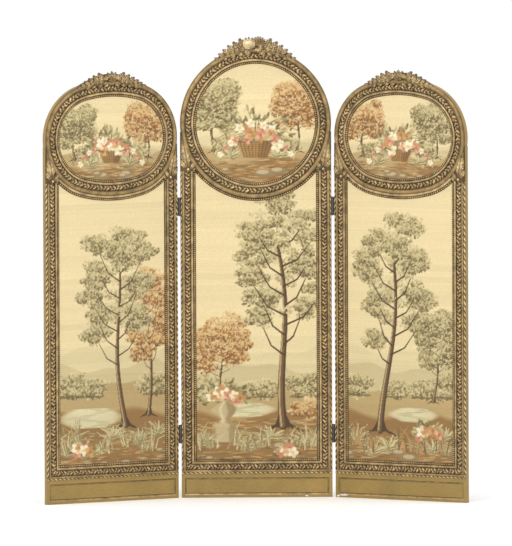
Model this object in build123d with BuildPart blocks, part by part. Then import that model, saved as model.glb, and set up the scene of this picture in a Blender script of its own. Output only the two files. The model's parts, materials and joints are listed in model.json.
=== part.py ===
from build123d import *

import os
from math import atan2, degrees, sqrt

# Three-leaf folding screen: carved giltwood frames with woven panels, a roundel over a tall panel.
# Millimetres, +Z up. The origin is under the middle of the centre leaf, on the floor. The screen
# stands as a shallow bay: both outer leaves are folded towards -Y, where the viewer stands.

os.makedirs("parts", exist_ok=True)

# Leaves
leaf_width = 600.0
left_fold_angle = 29.5
right_fold_angle = 32.0
hinge_gap = 8.0

# Frame boards, their thickness centred on each leaf's middle plane
frame_thickness = 20.0
stile_edge_to_sight = 61.0
rebate_lip = 7.0
tenon_length = 30.0
tenon_thickness = 8.0
tenon_shoulder = 14.0
joint_clearance = 0.1

# Round openings: a circle on the centre leaf, an oval of four arcs on the side leaves
edge_to_round = 64.0
centre_spring = 1490.0
centre_lower_band = 0.0
side_spring = 1441.0
side_lower_band = 9.0
oval_height_ratio = 0.699
oval_end_ratio = 0.657

# Base
base_height = 92.0
base_recess = 4.0
base_top_strip = 13.0
base_side_strip = 14.0
base_bottom_strip = 11.5
base_ledge = 6.0

# Mouldings, from the sight edge outwards, and their heights over the frame's face
base_to_sight = 63.0
bead_width = 11.0
bead_height = 4.5
bead_slope = 2.5
inner_fillet_width = 8.5
inner_fillet_height = 5.5
quirk_width = 1.0
quirk_height = 3.0
carved_width = 23.0
carved_edge_height = 4.0
carved_height = 8.0
outer_fillet_width = 8.0
outer_fillet_height = 4.5
round_edge_height = 6.5
frame_margin = 2.0

# Twisted edge bead
rope_width = 6.5
rope_height = 6.5
rope_edge = 0.5
rope_shoulder = 3.0

# Spandrel carving, between the ring and the stile's edge
spandrel_thickness = 4.0
spandrel_rise = 6.0
spandrel_inset = 3.0
spandrel_leaf_height = 3.5

# Crests
crest_back = 4.0
crest_board_share = 0.8
crest_leaf_height = 7.0
crest_leaf_width = 25.0
crest_leaf_foot = 18.0
crest_leaf_lean_angle = 58.0
centre_crest_half_span = 150.0
centre_crest_rise = 49.0
centre_crest_leaves = 7
side_crest_half_span = 145.0
side_crest_rise = 42.0
side_crest_leaves = 7
boss_half_width = 21.0
boss_half_height = 16.0
boss_offset = -25.0
boss_rise = 15.0
boss_rim = 3.5
boss_rim_height = 8.0
boss_height = 4.0
boss_bevel = 2.5
shell_ribs = 7
shell_length = 34.0
shell_rib_radius = 5.5
shell_rib_foot = 2.0
shell_offset = 14.0
shell_rise = 6.0
shell_spread_angle = 130.0
shell_lean_angle = 12.0
shell_height = 9.0
flower_petals = 6
flower_petal_radius = 7.5
flower_radius = 9.0
flower_height = 9.0
flower_eye_radius = 5.0
flower_eye_height = 3.0
flower_eye_slope_angle = 35.0
flower_rise = 18.0

# Woven panels, their strainers and the lining
cloth_thickness = 1.2
cloth_behind_lip = 0.2
strainer_width = 34.0
strainer_thickness = 13.0
strainer_clearance = 1.5
lining_thickness = 0.8
lining_margin = 12.0

# Butt hinges, barrel at the front
hinge_length = 72.0
hinge_low = 255.0
hinge_high = 1160.0
plate_thickness = 2.0
plate_back = 8.0
barrel_radius = 4.5
barrel_bore_radius = 2.05
pin_radius = 2.0
pin_head_radius = 3.6
pin_head_height = 1.5
pin_stand_off = 1.0
knuckles = 5
knuckle_gap = 0.4

# Worked out from the sizes above
half_leaf = leaf_width / 2
frame_face = frame_thickness / 2
sight_half = half_leaf - stile_edge_to_sight
sight_bottom = base_height + base_to_sight
opening_half = sight_half + rebate_lip
opening_bottom = sight_bottom - rebate_lip
base_face = frame_face - base_recess
carved_start = bead_width + inner_fillet_width + quirk_width
carved_end = carved_start + carved_width
outer_start = carved_end + quirk_width
moulding_outer = outer_start + outer_fillet_width
bead_outer = sight_half + bead_width
band_outer = sight_half + moulding_outer
band_foot = sight_bottom - moulding_outer
pin_depth = frame_face + carved_height + pin_stand_off
pin_x = half_leaf + hinge_gap / 2
cloth_front = frame_face - cloth_behind_lip
strainer_front = cloth_front - cloth_thickness
base_rope_z = band_foot - rope_edge - rope_width / 2
knuckle_pitch = hinge_length / knuckles
up = Vector(0, 0, 1)


def finish(piece, node):
    piece.part.label = node
    export_step(piece.part, f"parts/{node}.step")


class Roundel:
    """A four-centred oval, tangent arc to arc; a circle has its four centres in one."""

    def __init__(self, spring, lower_band, height_ratio=1.0, end_ratio=1.0):
        self.spring = spring
        self.half_width = half_leaf - edge_to_round
        self.end_radius = self.half_width * end_ratio
        self.end_centre = self.half_width - self.end_radius
        self.long_radius = self.end_radius
        self.long_centre = 0.0
        self.turn = 45.0
        if end_ratio < height_ratio < 1:
            half_height = self.half_width * height_ratio
            squares = self.end_centre**2 + half_height**2 - self.end_radius**2
            self.long_radius = squares / (2 * (half_height - self.end_radius))
            self.long_centre = self.long_radius - half_height
            self.turn = degrees(atan2(self.long_centre, self.end_centre))
        self.rail_edge = edge_to_round
        self.ring_outer = self.rail_edge - frame_margin
        self.lower_lip = self.ring_outer + bead_width + lower_band
        self.corner = self.spring - self.drop_at(sight_half, self.lower_lip)
        self.spandrel_foot = self.corner + spandrel_rise
        self.horn = self.spring - self.drop_at(half_leaf - frame_margin, self.rail_edge)

    def outline(self, grow=0.0):
        """The outline moved out by grow, from its rightmost point round and back to it."""
        side, flat = self.turn, 180 - 2 * self.turn
        end, long = self.end_radius + grow, self.long_radius + grow
        right, left = (self.end_centre, self.spring), (-self.end_centre, self.spring)
        above = (0, self.spring - self.long_centre)
        below = (0, self.spring + self.long_centre)
        CenterArc(right, end, 0, side)
        CenterArc(above, long, side, flat)
        CenterArc(left, end, 180 - side, 2 * side)
        CenterArc(below, long, 180 + side, flat)
        CenterArc(right, end, -side, side)

    def face(self, grow=0.0):
        """What lies inside the outline moved out by grow, as a sketch in the leaf's plane."""
        with BuildSketch() as inside:
            with BuildLine():
                self.outline(grow)
            make_face()
        return inside.sketch

    def drop_at(self, x, grow):
        """How far under the spring line the lower end arc passes x."""
        return sqrt((self.end_radius + grow) ** 2 - (abs(x) - self.end_centre) ** 2)

    def top_at(self, x, grow):
        """Height over the floor of the upper long arc at x."""
        rise = sqrt((self.long_radius + grow) ** 2 - x**2)
        return self.spring - self.long_centre + rise


def leaf_plane(side, fold):
    """A leaf's middle plane: x along its width, y up, normal to the front, origin on the floor."""
    along = Vector(1, 0, 0).rotate(Axis.Z, -side * fold)
    front = Vector(0, -1, 0).rotate(Axis.Z, -side * fold)
    middle = Vector(0, 0, 0)
    if side:
        pin = Vector(side * pin_x, -pin_depth, 0)
        middle = pin + along * (side * pin_x) - front * pin_depth
    return Plane(origin=middle, x_dir=along, z_dir=front)


def at(plane, x, z, depth):
    """A point in the leaf's own terms: along, up and towards the front."""
    return plane.origin + plane.x_dir * x + up * z + plane.z_dir * depth


def field(roundel, half_width, bottom, bite):
    """A tall field whose top is bitten by the roundel, as a sketch in the leaf's plane."""
    with BuildSketch() as shape:
        Polygon(
            (-half_width, bottom),
            (half_width, bottom),
            (half_width, roundel.spring),
            (-half_width, roundel.spring),
            align=None,
        )
        add(roundel.face(bite), mode=Mode.SUBTRACT)
    return shape.sketch


def carved_section():
    """Bead side fillet, quirk and the round of the carved band, in the line that is open."""
    Polyline(
        (bead_width, 0),
        (bead_width, inner_fillet_height),
        (carved_start - quirk_width, inner_fillet_height),
        (carved_start - quirk_width, quirk_height),
        (carved_start, quirk_height),
        (carved_start, carved_edge_height),
    )
    ThreePointArc(
        (carved_start, carved_edge_height),
        (carved_start + carved_width / 2, carved_height),
        (carved_end, carved_edge_height),
    )
    Polyline((carved_end, carved_edge_height), (carved_end, quirk_height), (outer_start, quirk_height))


def straight_profile():
    """The stile moulding in section, ending in a flat outer fillet."""
    with BuildSketch() as section:
        with BuildLine():
            carved_section()
            Polyline(
                (outer_start, quirk_height),
                (outer_start, outer_fillet_height),
                (moulding_outer, outer_fillet_height),
                (moulding_outer, 0),
                (bead_width, 0),
            )
        make_face()
    return section.sketch


def ring_profile(ring_outer):
    """The ring moulding in section, ending in a plain round edge."""
    with BuildSketch() as section:
        with BuildLine():
            carved_section()
            ThreePointArc(
                (outer_start, quirk_height),
                ((outer_start + ring_outer) / 2, round_edge_height),
                (ring_outer, quirk_height),
            )
            Polyline((ring_outer, quirk_height), (ring_outer, 0), (bead_width, 0))
        make_face()
    return section.sketch


def rope_profile():
    """The twisted bead in section: shoulders under a round top."""
    with BuildSketch() as section:
        with BuildLine():
            Polyline(
                (-rope_width / 2, rope_shoulder),
                (-rope_width / 2, 0),
                (rope_width / 2, 0),
                (rope_width / 2, rope_shoulder),
            )
            ThreePointArc(
                (rope_width / 2, rope_shoulder),
                (0, rope_height),
                (-rope_width / 2, rope_shoulder),
            )
        make_face()
    return section.sketch


def make_frame(name, plane, roundel):
    """Stiles, the ring-shaped top rail and the bottom rail, with their joints."""
    face = plane.offset(frame_face)
    for side, hand in ((-1, "left"), (1, "right")):
        with BuildPart() as stile:
            with BuildSketch(face):
                Polygon(
                    (side * opening_half, 0),
                    (side * half_leaf, 0),
                    (side * half_leaf, roundel.horn),
                    (side * opening_half, roundel.horn),
                    align=None,
                )
                add(roundel.face(roundel.rail_edge), mode=Mode.SUBTRACT)
            extrude(amount=-frame_thickness)
            with BuildSketch(face):
                with Locations((side * (opening_half + half_leaf) / 2, base_height / 2)):
                    Rectangle(half_leaf - opening_half, base_height)
            extrude(amount=-base_recess, mode=Mode.SUBTRACT)
            with BuildSketch(plane.offset(tenon_thickness / 2 + joint_clearance)):
                with Locations((side * (opening_half + tenon_length / 2), opening_bottom / 2)):
                    Rectangle(
                        tenon_length + 2 * joint_clearance,
                        opening_bottom - 2 * tenon_shoulder + 2 * joint_clearance,
                    )
            extrude(amount=-tenon_thickness - 2 * joint_clearance, mode=Mode.SUBTRACT)
        finish(stile, f"{name}_{hand}_stile")

    with BuildPart() as ring_rail:
        with BuildSketch(face):
            add(roundel.face(roundel.rail_edge))
            add(roundel.face(rebate_lip), mode=Mode.SUBTRACT)
        extrude(amount=-frame_thickness)
    finish(ring_rail, f"{name}_ring_rail")

    with BuildPart() as bottom_rail:
        with BuildSketch(face):
            with Locations((0, opening_bottom / 2)):
                Rectangle(2 * opening_half, opening_bottom)
        extrude(amount=-frame_thickness)
        with BuildSketch(face):
            with Locations((0, base_height / 2)):
                Rectangle(2 * opening_half, base_height)
        extrude(amount=-base_recess, mode=Mode.SUBTRACT)
        with BuildSketch(plane.offset(tenon_thickness / 2)):
            with Locations((0, opening_bottom / 2)):
                Rectangle(2 * (opening_half + tenon_length), opening_bottom - 2 * tenon_shoulder)
        extrude(amount=-tenon_thickness)
    finish(bottom_rail, f"{name}_bottom_rail")


def make_mouldings(name, plane, roundel):
    """What is run and carved on the frame's face: ring, stile and rail mouldings, and beads."""
    face = plane.offset(frame_face)
    middle = Plane(origin=plane.origin, z_dir=plane.x_dir)
    bead_low = sight_bottom - bead_width

    with BuildPart() as ring_moulding:
        start = at(plane, roundel.half_width, roundel.spring, frame_face)
        with BuildLine(face) as ring_line:
            roundel.outline()
        with BuildSketch(Plane(origin=start, x_dir=plane.x_dir, z_dir=-up)):
            add(ring_profile(roundel.ring_outer))
        sweep(path=ring_line.wire())
    finish(ring_moulding, f"{name}_ring_moulding")

    with BuildPart() as stile_mouldings:
        start = at(plane, -sight_half, band_foot, frame_face)
        with BuildSketch(Plane(origin=start, x_dir=-plane.x_dir, z_dir=up)):
            add(straight_profile())
        extrude(amount=roundel.spandrel_foot - band_foot)
        with BuildSketch(face):
            Polygon(
                (-bead_outer, bead_low),
                (-band_outer, band_foot),
                (-band_outer, roundel.spandrel_foot),
                (-bead_outer, roundel.spandrel_foot),
                align=None,
            )
        extrude(amount=carved_height, mode=Mode.INTERSECT)
        mirror(about=middle)
    finish(stile_mouldings, f"{name}_stile_mouldings")

    with BuildPart() as bottom_moulding:
        start = at(plane, 0, sight_bottom, frame_face)
        with BuildSketch(Plane(origin=start, x_dir=-up, z_dir=-plane.x_dir)):
            add(straight_profile())
        extrude(amount=band_outer, both=True)
        with BuildSketch(face):
            Polygon(
                (-bead_outer, bead_low),
                (-band_outer, band_foot),
                (band_outer, band_foot),
                (bead_outer, bead_low),
                align=None,
            )
        extrude(amount=carved_height, mode=Mode.INTERSECT)
    finish(bottom_moulding, f"{name}_bottom_moulding")

    with BuildPart() as sight_beads:
        with BuildSketch(face):
            add(roundel.face(bead_width))
            add(roundel.face(0), mode=Mode.SUBTRACT)
        extrude(amount=bead_height)
        with BuildSketch(face):
            add(field(roundel, bead_outer, bead_low, roundel.ring_outer))
            add(field(roundel, sight_half, sight_bottom, roundel.lower_lip), mode=Mode.SUBTRACT)
        extrude(amount=bead_height)
        fronts = faces().group_by(Axis(plane.origin, plane.z_dir))[-1]
        inner_edges = [edge for front in fronts for wire in front.inner_wires() for edge in wire.edges()]
        chamfer(inner_edges, length=bead_slope)
    finish(sight_beads, f"{name}_sight_beads")

    with BuildPart() as ropes:
        rope_x = half_leaf - rope_edge - rope_width / 2
        rope_foot = base_rope_z + rope_width / 2
        start = at(plane, -rope_x, rope_foot, frame_face)
        with BuildSketch(Plane(origin=start, x_dir=-plane.x_dir, z_dir=up)):
            add(rope_profile())
        extrude(amount=roundel.spandrel_foot - rope_foot)
        mirror(about=middle)
        start = at(plane, 0, base_rope_z, frame_face)
        with BuildSketch(Plane(origin=start, x_dir=-up, z_dir=-plane.x_dir)):
            add(rope_profile())
        extrude(amount=half_leaf - rope_edge, both=True)
    finish(ropes, f"{name}_ropes")

    with BuildPart() as spandrel_leaves:
        outer = half_leaf - rope_edge
        with BuildSketch(face):
            Polygon(
                (bead_outer, roundel.spandrel_foot),
                (outer, roundel.spandrel_foot),
                (outer, roundel.horn),
                (bead_outer, roundel.horn),
                align=None,
            )
            add(roundel.face(roundel.ring_outer), mode=Mode.SUBTRACT)
        extrude(amount=spandrel_thickness)
        with BuildSketch(face.offset(spandrel_thickness)):
            Polygon(
                (bead_outer + spandrel_inset, roundel.spandrel_foot + spandrel_inset),
                (outer - spandrel_inset, roundel.spandrel_foot + spandrel_inset),
                (outer - spandrel_inset, roundel.horn),
                (bead_outer + spandrel_inset, roundel.horn),
                align=None,
            )
            add(roundel.face(roundel.ring_outer + spandrel_inset), mode=Mode.SUBTRACT)
        extrude(amount=spandrel_leaf_height)
        mirror(about=middle)
    finish(spandrel_leaves, f"{name}_spandrel_leaves")

    with BuildPart() as base_trim:
        inner_width = leaf_width - 2 * base_side_strip
        inner_height = base_height - base_top_strip - base_bottom_strip
        with BuildSketch(plane.offset(base_face)):
            with Locations((0, base_height / 2)):
                Rectangle(leaf_width, base_height)
            with Locations((0, base_bottom_strip + inner_height / 2)):
                Rectangle(inner_width, inner_height, mode=Mode.SUBTRACT)
        extrude(amount=base_recess)
        ledge = at(plane, -inner_width / 2, base_bottom_strip, base_face)
        with BuildSketch(Plane(origin=ledge, x_dir=plane.z_dir, z_dir=-plane.x_dir)):
            with BuildLine():
                Polyline((0, 0), (base_recess, 0), (0, base_ledge), close=True)
            make_face()
        extrude(amount=-inner_width)
    finish(base_trim, f"{name}_base_trim")


def crest_height(share, rise):
    """Height of the crest over the arch, at a share of its half span from the middle."""
    return rise * (1 - share**1.5)


def crest_leaf(length):
    """A pointed leaf of two arcs, its foot at the origin and its tip straight up."""
    with BuildSketch() as leaf:
        with BuildLine():
            ThreePointArc((0, 0), (crest_leaf_width / 2, length / 2), (0, length))
            ThreePointArc((0, length), (-crest_leaf_width / 2, length / 2), (0, 0))
        make_face()
    return leaf.sketch


def make_crest(name, plane, roundel, half_span, rise, leaves, ornament):
    """A carved crest on the arch: a backing board, a fan of leaves and its middle ornament."""
    edge = roundel.rail_edge

    def top(x):
        return roundel.top_at(x, edge)

    with BuildPart() as crest:
        with BuildSketch(plane.offset(frame_face)):
            stops = [half_span * share for share in (-1, -0.66, -0.33, 0, 0.33, 0.66, 1)]
            skyline = [
                (x, top(x) + crest_board_share * crest_height(abs(x) / half_span, rise))
                for x in stops
            ]
            with BuildLine():
                Spline(*skyline)
                Line(skyline[-1], skyline[0])
            make_face()
            add(roundel.face(edge), mode=Mode.SUBTRACT)
        extrude(amount=-frame_face - crest_back)
        with BuildSketch(plane.offset(frame_face)):
            for i in range(-leaves, leaves + 1):
                share = i / (leaves + 0.5)
                x = half_span * share
                length = crest_leaf_foot + crest_height(abs(share), rise)
                foot = (x, top(x) - crest_leaf_foot)
                with Locations(Location(foot, -crest_leaf_lean_angle * share)):
                    add(crest_leaf(length))
        extrude(amount=crest_leaf_height)
        add(ornament(plane.offset(frame_face), top))
        with BuildSketch(plane.offset(frame_face)):
            add(roundel.face(roundel.ring_outer))
        extrude(amount=pin_depth, mode=Mode.SUBTRACT)
    finish(crest, f"{name}_crest")


def make_cartouche(face, top):
    """An oval boss in a rim, left of the middle, and a ribbed shell fanning out beside it."""
    boss_at = (boss_offset, top(boss_offset) + boss_rise)
    shell_at = (shell_offset, top(shell_offset) + shell_rise)
    with BuildPart() as cartouche:
        with BuildSketch(face):
            with Locations(boss_at):
                Ellipse(boss_half_width + boss_rim, boss_half_height + boss_rim)
        extrude(amount=boss_rim_height)
        with BuildSketch(face.offset(boss_rim_height)):
            with Locations(boss_at):
                Ellipse(boss_half_width, boss_half_height)
        extrude(amount=boss_height)
        crown = cartouche.faces().sort_by(Axis(face.origin, face.z_dir))[-1]
        chamfer(crown.edges(), length=boss_bevel)
        with BuildSketch(face):
            for i in range(shell_ribs):
                turn = shell_lean_angle + shell_spread_angle * (i / (shell_ribs - 1) - 0.5)
                with Locations(Location(shell_at, -turn)):
                    add(shell_rib())
        extrude(amount=shell_height)
    return cartouche.part


def shell_rib():
    """One rib of the shell: narrow at the foot, round at the tip."""
    with BuildSketch() as rib:
        Circle(shell_rib_foot)
        with Locations((0, shell_length)):
            Circle(shell_rib_radius)
        make_hull()
    return rib.sketch


def make_bouquet(face, top):
    """A round flower with a raised eye in the middle of the leaves."""
    middle = (0, top(0) + flower_rise)
    with BuildPart() as flower:
        with BuildSketch(face):
            with Locations(middle):
                Circle(flower_radius)
                with PolarLocations(flower_radius, flower_petals, start_angle=90):
                    Circle(flower_petal_radius)
        extrude(amount=flower_height)
        with BuildSketch(face.offset(flower_height)):
            with Locations(middle):
                Circle(flower_eye_radius)
        extrude(amount=flower_eye_height, taper=flower_eye_slope_angle)
    return flower.part


def make_panels(name, plane, roundel):
    """Woven panels on their strainers, let into the rebates, and the lining at the back."""
    inset = strainer_clearance
    low = opening_bottom + inset
    width = opening_half - inset
    with BuildPart() as roundel_panel:
        with BuildSketch(plane.offset(cloth_front)):
            add(roundel.face(rebate_lip - inset))
        extrude(amount=-cloth_thickness)
    finish(roundel_panel, f"{name}_roundel_panel")

    with BuildPart() as lower_panel:
        with BuildSketch(plane.offset(cloth_front)):
            add(field(roundel, width, low, roundel.rail_edge + inset))
        extrude(amount=-cloth_thickness)
    finish(lower_panel, f"{name}_lower_panel")

    with BuildPart() as strainers:
        with BuildSketch(plane.offset(strainer_front)):
            add(roundel.face(rebate_lip - inset))
            add(roundel.face(rebate_lip - inset - strainer_width), mode=Mode.SUBTRACT)
        extrude(amount=-strainer_thickness)
        with BuildSketch(plane.offset(strainer_front)):
            add(field(roundel, width, low, roundel.rail_edge + inset))
            add(
                field(
                    roundel,
                    width - strainer_width,
                    low + strainer_width,
                    roundel.rail_edge + inset + strainer_width,
                ),
                mode=Mode.SUBTRACT,
            )
            with Locations((0, (low + roundel.corner) / 2)):
                Rectangle(2 * width, strainer_width)
        extrude(amount=-strainer_thickness)
    finish(strainers, f"{name}_strainers")

    with BuildPart() as lining:
        with BuildSketch(plane.offset(-frame_face)):
            Polygon(
                (lining_margin - half_leaf, lining_margin),
                (half_leaf - lining_margin, lining_margin),
                (half_leaf - lining_margin, roundel.spring),
                (lining_margin - half_leaf, roundel.spring),
                align=None,
            )
            add(roundel.face(roundel.rail_edge - lining_margin))
        extrude(amount=-lining_thickness)
    finish(lining, f"{name}_lining")


def make_plates(node, plane, side, own):
    """Both hinges' plates on one leaf's edge, with the knuckles whose numbers are in own."""
    pin = at(plane, side * pin_x, 0, pin_depth)
    with BuildPart() as plates:
        for middle in (hinge_low, hinge_high):
            foot = middle - hinge_length / 2
            with BuildSketch(Plane(origin=plane.origin + up * foot, x_dir=plane.x_dir, z_dir=up)):
                with Locations(
                    (
                        side * (half_leaf + plate_thickness / 2),
                        -(pin_depth - plate_back) / 2,
                    )
                ):
                    Rectangle(plate_thickness, pin_depth + plate_back)
            extrude(amount=hinge_length)
            for i in range(knuckles):
                start = Plane(origin=(pin.X, pin.Y, foot + i * knuckle_pitch), z_dir=up)
                if i in own:
                    with BuildSketch(start.offset(knuckle_gap / 2)):
                        Circle(barrel_radius)
                    extrude(amount=knuckle_pitch - knuckle_gap)
            for i in range(knuckles):
                start = Plane(origin=(pin.X, pin.Y, foot + i * knuckle_pitch), z_dir=up)
                if i not in own:
                    with BuildSketch(start.offset(-knuckle_gap / 2)):
                        Circle(barrel_radius + knuckle_gap)
                    extrude(amount=knuckle_pitch + knuckle_gap, mode=Mode.SUBTRACT)
            with BuildSketch(Plane(origin=(pin.X, pin.Y, foot), z_dir=up)):
                Circle(barrel_bore_radius)
            extrude(amount=hinge_length, mode=Mode.SUBTRACT)
    finish(plates, node)


def make_pins(node, side):
    """The pins of one junction's two hinges, each with a round head at both ends."""
    with BuildPart() as pins:
        for middle in (hinge_low, hinge_high):
            foot = Plane(origin=(side * pin_x, -pin_depth, middle - hinge_length / 2), z_dir=up)
            with BuildSketch(foot):
                Circle(pin_radius)
            extrude(amount=hinge_length)
            with BuildSketch(foot):
                Circle(pin_head_radius)
            extrude(amount=-pin_head_height)
            with BuildSketch(foot.offset(hinge_length)):
                Circle(pin_head_radius)
            extrude(amount=pin_head_height)
    finish(pins, node)


def make_leaf(name, plane, roundel, crest):
    """One leaf whole, hinges apart."""
    make_frame(name, plane, roundel)
    make_mouldings(name, plane, roundel)
    make_crest(name, plane, roundel, *crest)
    make_panels(name, plane, roundel)


centre_roundel = Roundel(centre_spring, centre_lower_band)
side_roundel = Roundel(side_spring, side_lower_band, oval_height_ratio, oval_end_ratio)
centre_plane = leaf_plane(0, 0)
left_plane = leaf_plane(-1, left_fold_angle)
right_plane = leaf_plane(1, right_fold_angle)
centre_crest = (centre_crest_half_span, centre_crest_rise, centre_crest_leaves, make_cartouche)
side_crest = (side_crest_half_span, side_crest_rise, side_crest_leaves, make_bouquet)
fixed_knuckles = range(0, knuckles, 2)
swing_knuckles = range(1, knuckles, 2)

make_leaf("centre", centre_plane, centre_roundel, centre_crest)
make_leaf("left", left_plane, side_roundel, side_crest)
make_leaf("right", right_plane, side_roundel, side_crest)

for side, hand, plane in ((-1, "left", left_plane), (1, "right", right_plane)):
    make_plates(f"{hand}_fixed_plates", centre_plane, side, fixed_knuckles)
    make_plates(f"{hand}_swing_plates", plane, -side, swing_knuckles)
    make_pins(f"{hand}_hinge_pins", side)
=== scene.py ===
"""Dresses a giltwood folding screen: carving, woven panels, linings, hinge screws, and its studio."""

import json
from math import atan2, cos, pi, radians, sin

import bpy
import numpy as np
from bpy.props import FloatProperty, FloatVectorProperty, IntProperty, PointerProperty
from mathutils import Matrix, Vector


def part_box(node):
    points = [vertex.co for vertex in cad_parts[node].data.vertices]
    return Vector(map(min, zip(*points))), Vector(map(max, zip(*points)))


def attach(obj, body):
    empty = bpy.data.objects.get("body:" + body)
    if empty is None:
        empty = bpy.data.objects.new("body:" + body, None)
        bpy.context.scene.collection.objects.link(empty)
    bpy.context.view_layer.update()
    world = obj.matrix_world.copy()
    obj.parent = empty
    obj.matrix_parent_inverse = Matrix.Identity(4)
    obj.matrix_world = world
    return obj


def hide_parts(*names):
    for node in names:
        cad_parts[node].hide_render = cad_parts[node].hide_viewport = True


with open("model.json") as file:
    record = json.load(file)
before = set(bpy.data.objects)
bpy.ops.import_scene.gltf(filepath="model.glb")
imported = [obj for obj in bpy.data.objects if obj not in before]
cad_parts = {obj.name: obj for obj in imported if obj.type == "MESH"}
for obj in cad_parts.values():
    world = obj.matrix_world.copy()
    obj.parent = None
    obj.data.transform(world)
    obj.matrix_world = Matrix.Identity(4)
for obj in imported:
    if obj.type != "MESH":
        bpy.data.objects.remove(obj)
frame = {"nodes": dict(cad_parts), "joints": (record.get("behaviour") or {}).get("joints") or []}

bl_info = {
    "name": "Tapestry Folding Screen",
    "version": (1, 0, 0),
    "blender": (4, 5, 0),
    "location": "View3D > Sidebar > Screen",
    "description": "Carves the gilt frames, weaves the panels and sets the stage of a folding screen",
    "category": "Object",
}

# The frame's own sizes, in metres
HALF_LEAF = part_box("centre_base_trim")[1].x
FACE = -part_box("centre_left_stile")[0].y
SIGHT_HALF = 0.239
SIGHT_BOTTOM = 0.155
EDGE_TO_ROUND = 0.064
REBATE = 0.0055
SPRING = {"centre": 1.490, "left": 1.441, "right": 1.441}
LOWER_BAND = {"centre": 0.0, "left": 0.009, "right": 0.009}
OVAL_HEIGHT_RATIO = 0.699
OVAL_END_RATIO = 0.657
SPANDREL_RISE = 0.006

# Across the mouldings, from the sight edge outwards
BEAD_WIDTH = 0.011
CARVED_START = 0.0205
CARVED_END = 0.0435
OUTER_START = 0.0445
STRAIGHT_OUTER = 0.0525
RING_OUTER = 0.062
CARVED_MIDDLE = (CARVED_START + CARVED_END) / 2
ROPE_RADIUS = 0.00325
ROPE_X = HALF_LEAF - 0.0005 - ROPE_RADIUS
ROPE_Z = SIGHT_BOTTOM - STRAIGHT_OUTER - 0.0005 - ROPE_RADIUS
ROPE_STEP = 0.0021

# The sunk panel of the base
PANEL_HALF = HALF_LEAF - 0.014
PANEL_LOW = 0.0175
PANEL_HIGH = 0.079
PANEL_GROUND = FACE - 0.004

# Depths, from the leaf's middle plane towards the front
CREST_BACK = -0.004
BEAD_GROUND = FACE - 0.0003
PICTURE_DEPTH = FACE - 0.0006
LINING_DEPTH = -FACE - 0.0005

LINING_MARGIN = 0.012
LINING_CELL = 0.009
BRAID_MIDDLE = 0.0065
WOOL_LIGHT = 0.80

# The hinges' middles over the floor, and their screws
HINGE_HEIGHTS = (0.255, 1.160)
SCREW_PITCH = 0.024
SCREW_HEAD = 0.0034
SCREW_PROUD = 0.0006
SCREW_SLOT = 0.0004
PLATE_THICKNESS = 0.002

SIDES = {"centre": 0, "left": -1, "right": 1}
BODIES = {"centre": "centre", "left": "left_leaf", "right": "right_leaf"}

# Each roundel's basket: its size, and on which side the tree with autumn leaves stands
BASKETS = {"centre": (0.145, 1), "left": (0.105, 1), "right": (0.105, -1)}


class Roundel:
    """A leaf's round opening: a circle, or an oval of four tangent arcs."""

    def __init__(self, name):
        self.spring = SPRING[name]
        self.half_width = HALF_LEAF - EDGE_TO_ROUND
        self.end_radius = self.long_radius = self.half_width
        self.end_centre = self.long_centre = 0.0
        self.turn = pi / 4
        if SIDES[name]:
            half_height = self.half_width * OVAL_HEIGHT_RATIO
            self.end_radius = self.half_width * OVAL_END_RATIO
            self.end_centre = self.half_width - self.end_radius
            squares = self.end_centre**2 + half_height**2 - self.end_radius**2
            self.long_radius = squares / (2 * (half_height - self.end_radius))
            self.long_centre = self.long_radius - half_height
            self.turn = atan2(self.long_centre, self.end_centre)
        self.rise = self.long_radius - self.long_centre
        self.lower_lip = RING_OUTER + BEAD_WIDTH + LOWER_BAND[name]
        self.corner = self.spring - self.drop_at(SIGHT_HALF, self.lower_lip)
        self.spandrel_foot = self.corner + SPANDREL_RISE
        self.horn = self.spring - self.drop_at(HALF_LEAF - 0.002, EDGE_TO_ROUND)

    def drop_at(self, x, grow):
        """How far the end arc, grown, lies under the spring at x."""
        return ((self.end_radius + grow) ** 2 - (abs(x) - self.end_centre) ** 2) ** 0.5

    def top_at(self, x, grow):
        """Height of the upper long arc over the floor at x."""
        rise = np.sqrt((self.long_radius + grow) ** 2 - np.square(x))
        return self.spring - self.long_centre + rise

    def distance(self, x, z):
        """How far each point lies outside the opening's edge."""
        ax, az = np.abs(x), np.abs(z - self.spring)
        end = np.hypot(ax - self.end_centre, az) - self.end_radius
        long = np.hypot(ax, az + self.long_centre) - self.long_radius
        in_end = ax * self.long_centre > (az + self.long_centre) * self.end_centre
        return np.where(in_end, end, long) if self.long_centre else end

    def walk(self, step):
        """Points round the opening, their outward directions, their shares of the carved band, its length."""
        quarter, flat = self.turn, pi - 2 * self.turn
        arcs = (
            (self.end_centre, 0, self.end_radius, 0, quarter),
            (0, -self.long_centre, self.long_radius, quarter, flat),
            (-self.end_centre, 0, self.end_radius, pi - quarter, 2 * quarter),
            (0, self.long_centre, self.long_radius, pi + quarter, flat),
            (self.end_centre, 0, self.end_radius, -quarter, quarter),
        )
        places, ways, runs, run = [], [], [], 0.0
        for x, z, radius, first, sweep in arcs:
            length = sweep * (radius + CARVED_MIDDLE)
            count = max(2, round(length / step))
            angle = first + sweep * np.arange(count) / count
            way = np.stack((np.cos(angle), np.sin(angle)), -1)
            places.append(way * radius + (x, z + self.spring))
            ways.append(way)
            runs.append(run + length * np.arange(count) / count)
            run += length
        return np.concatenate(places), np.concatenate(ways), np.concatenate(runs) / run, run


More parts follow.
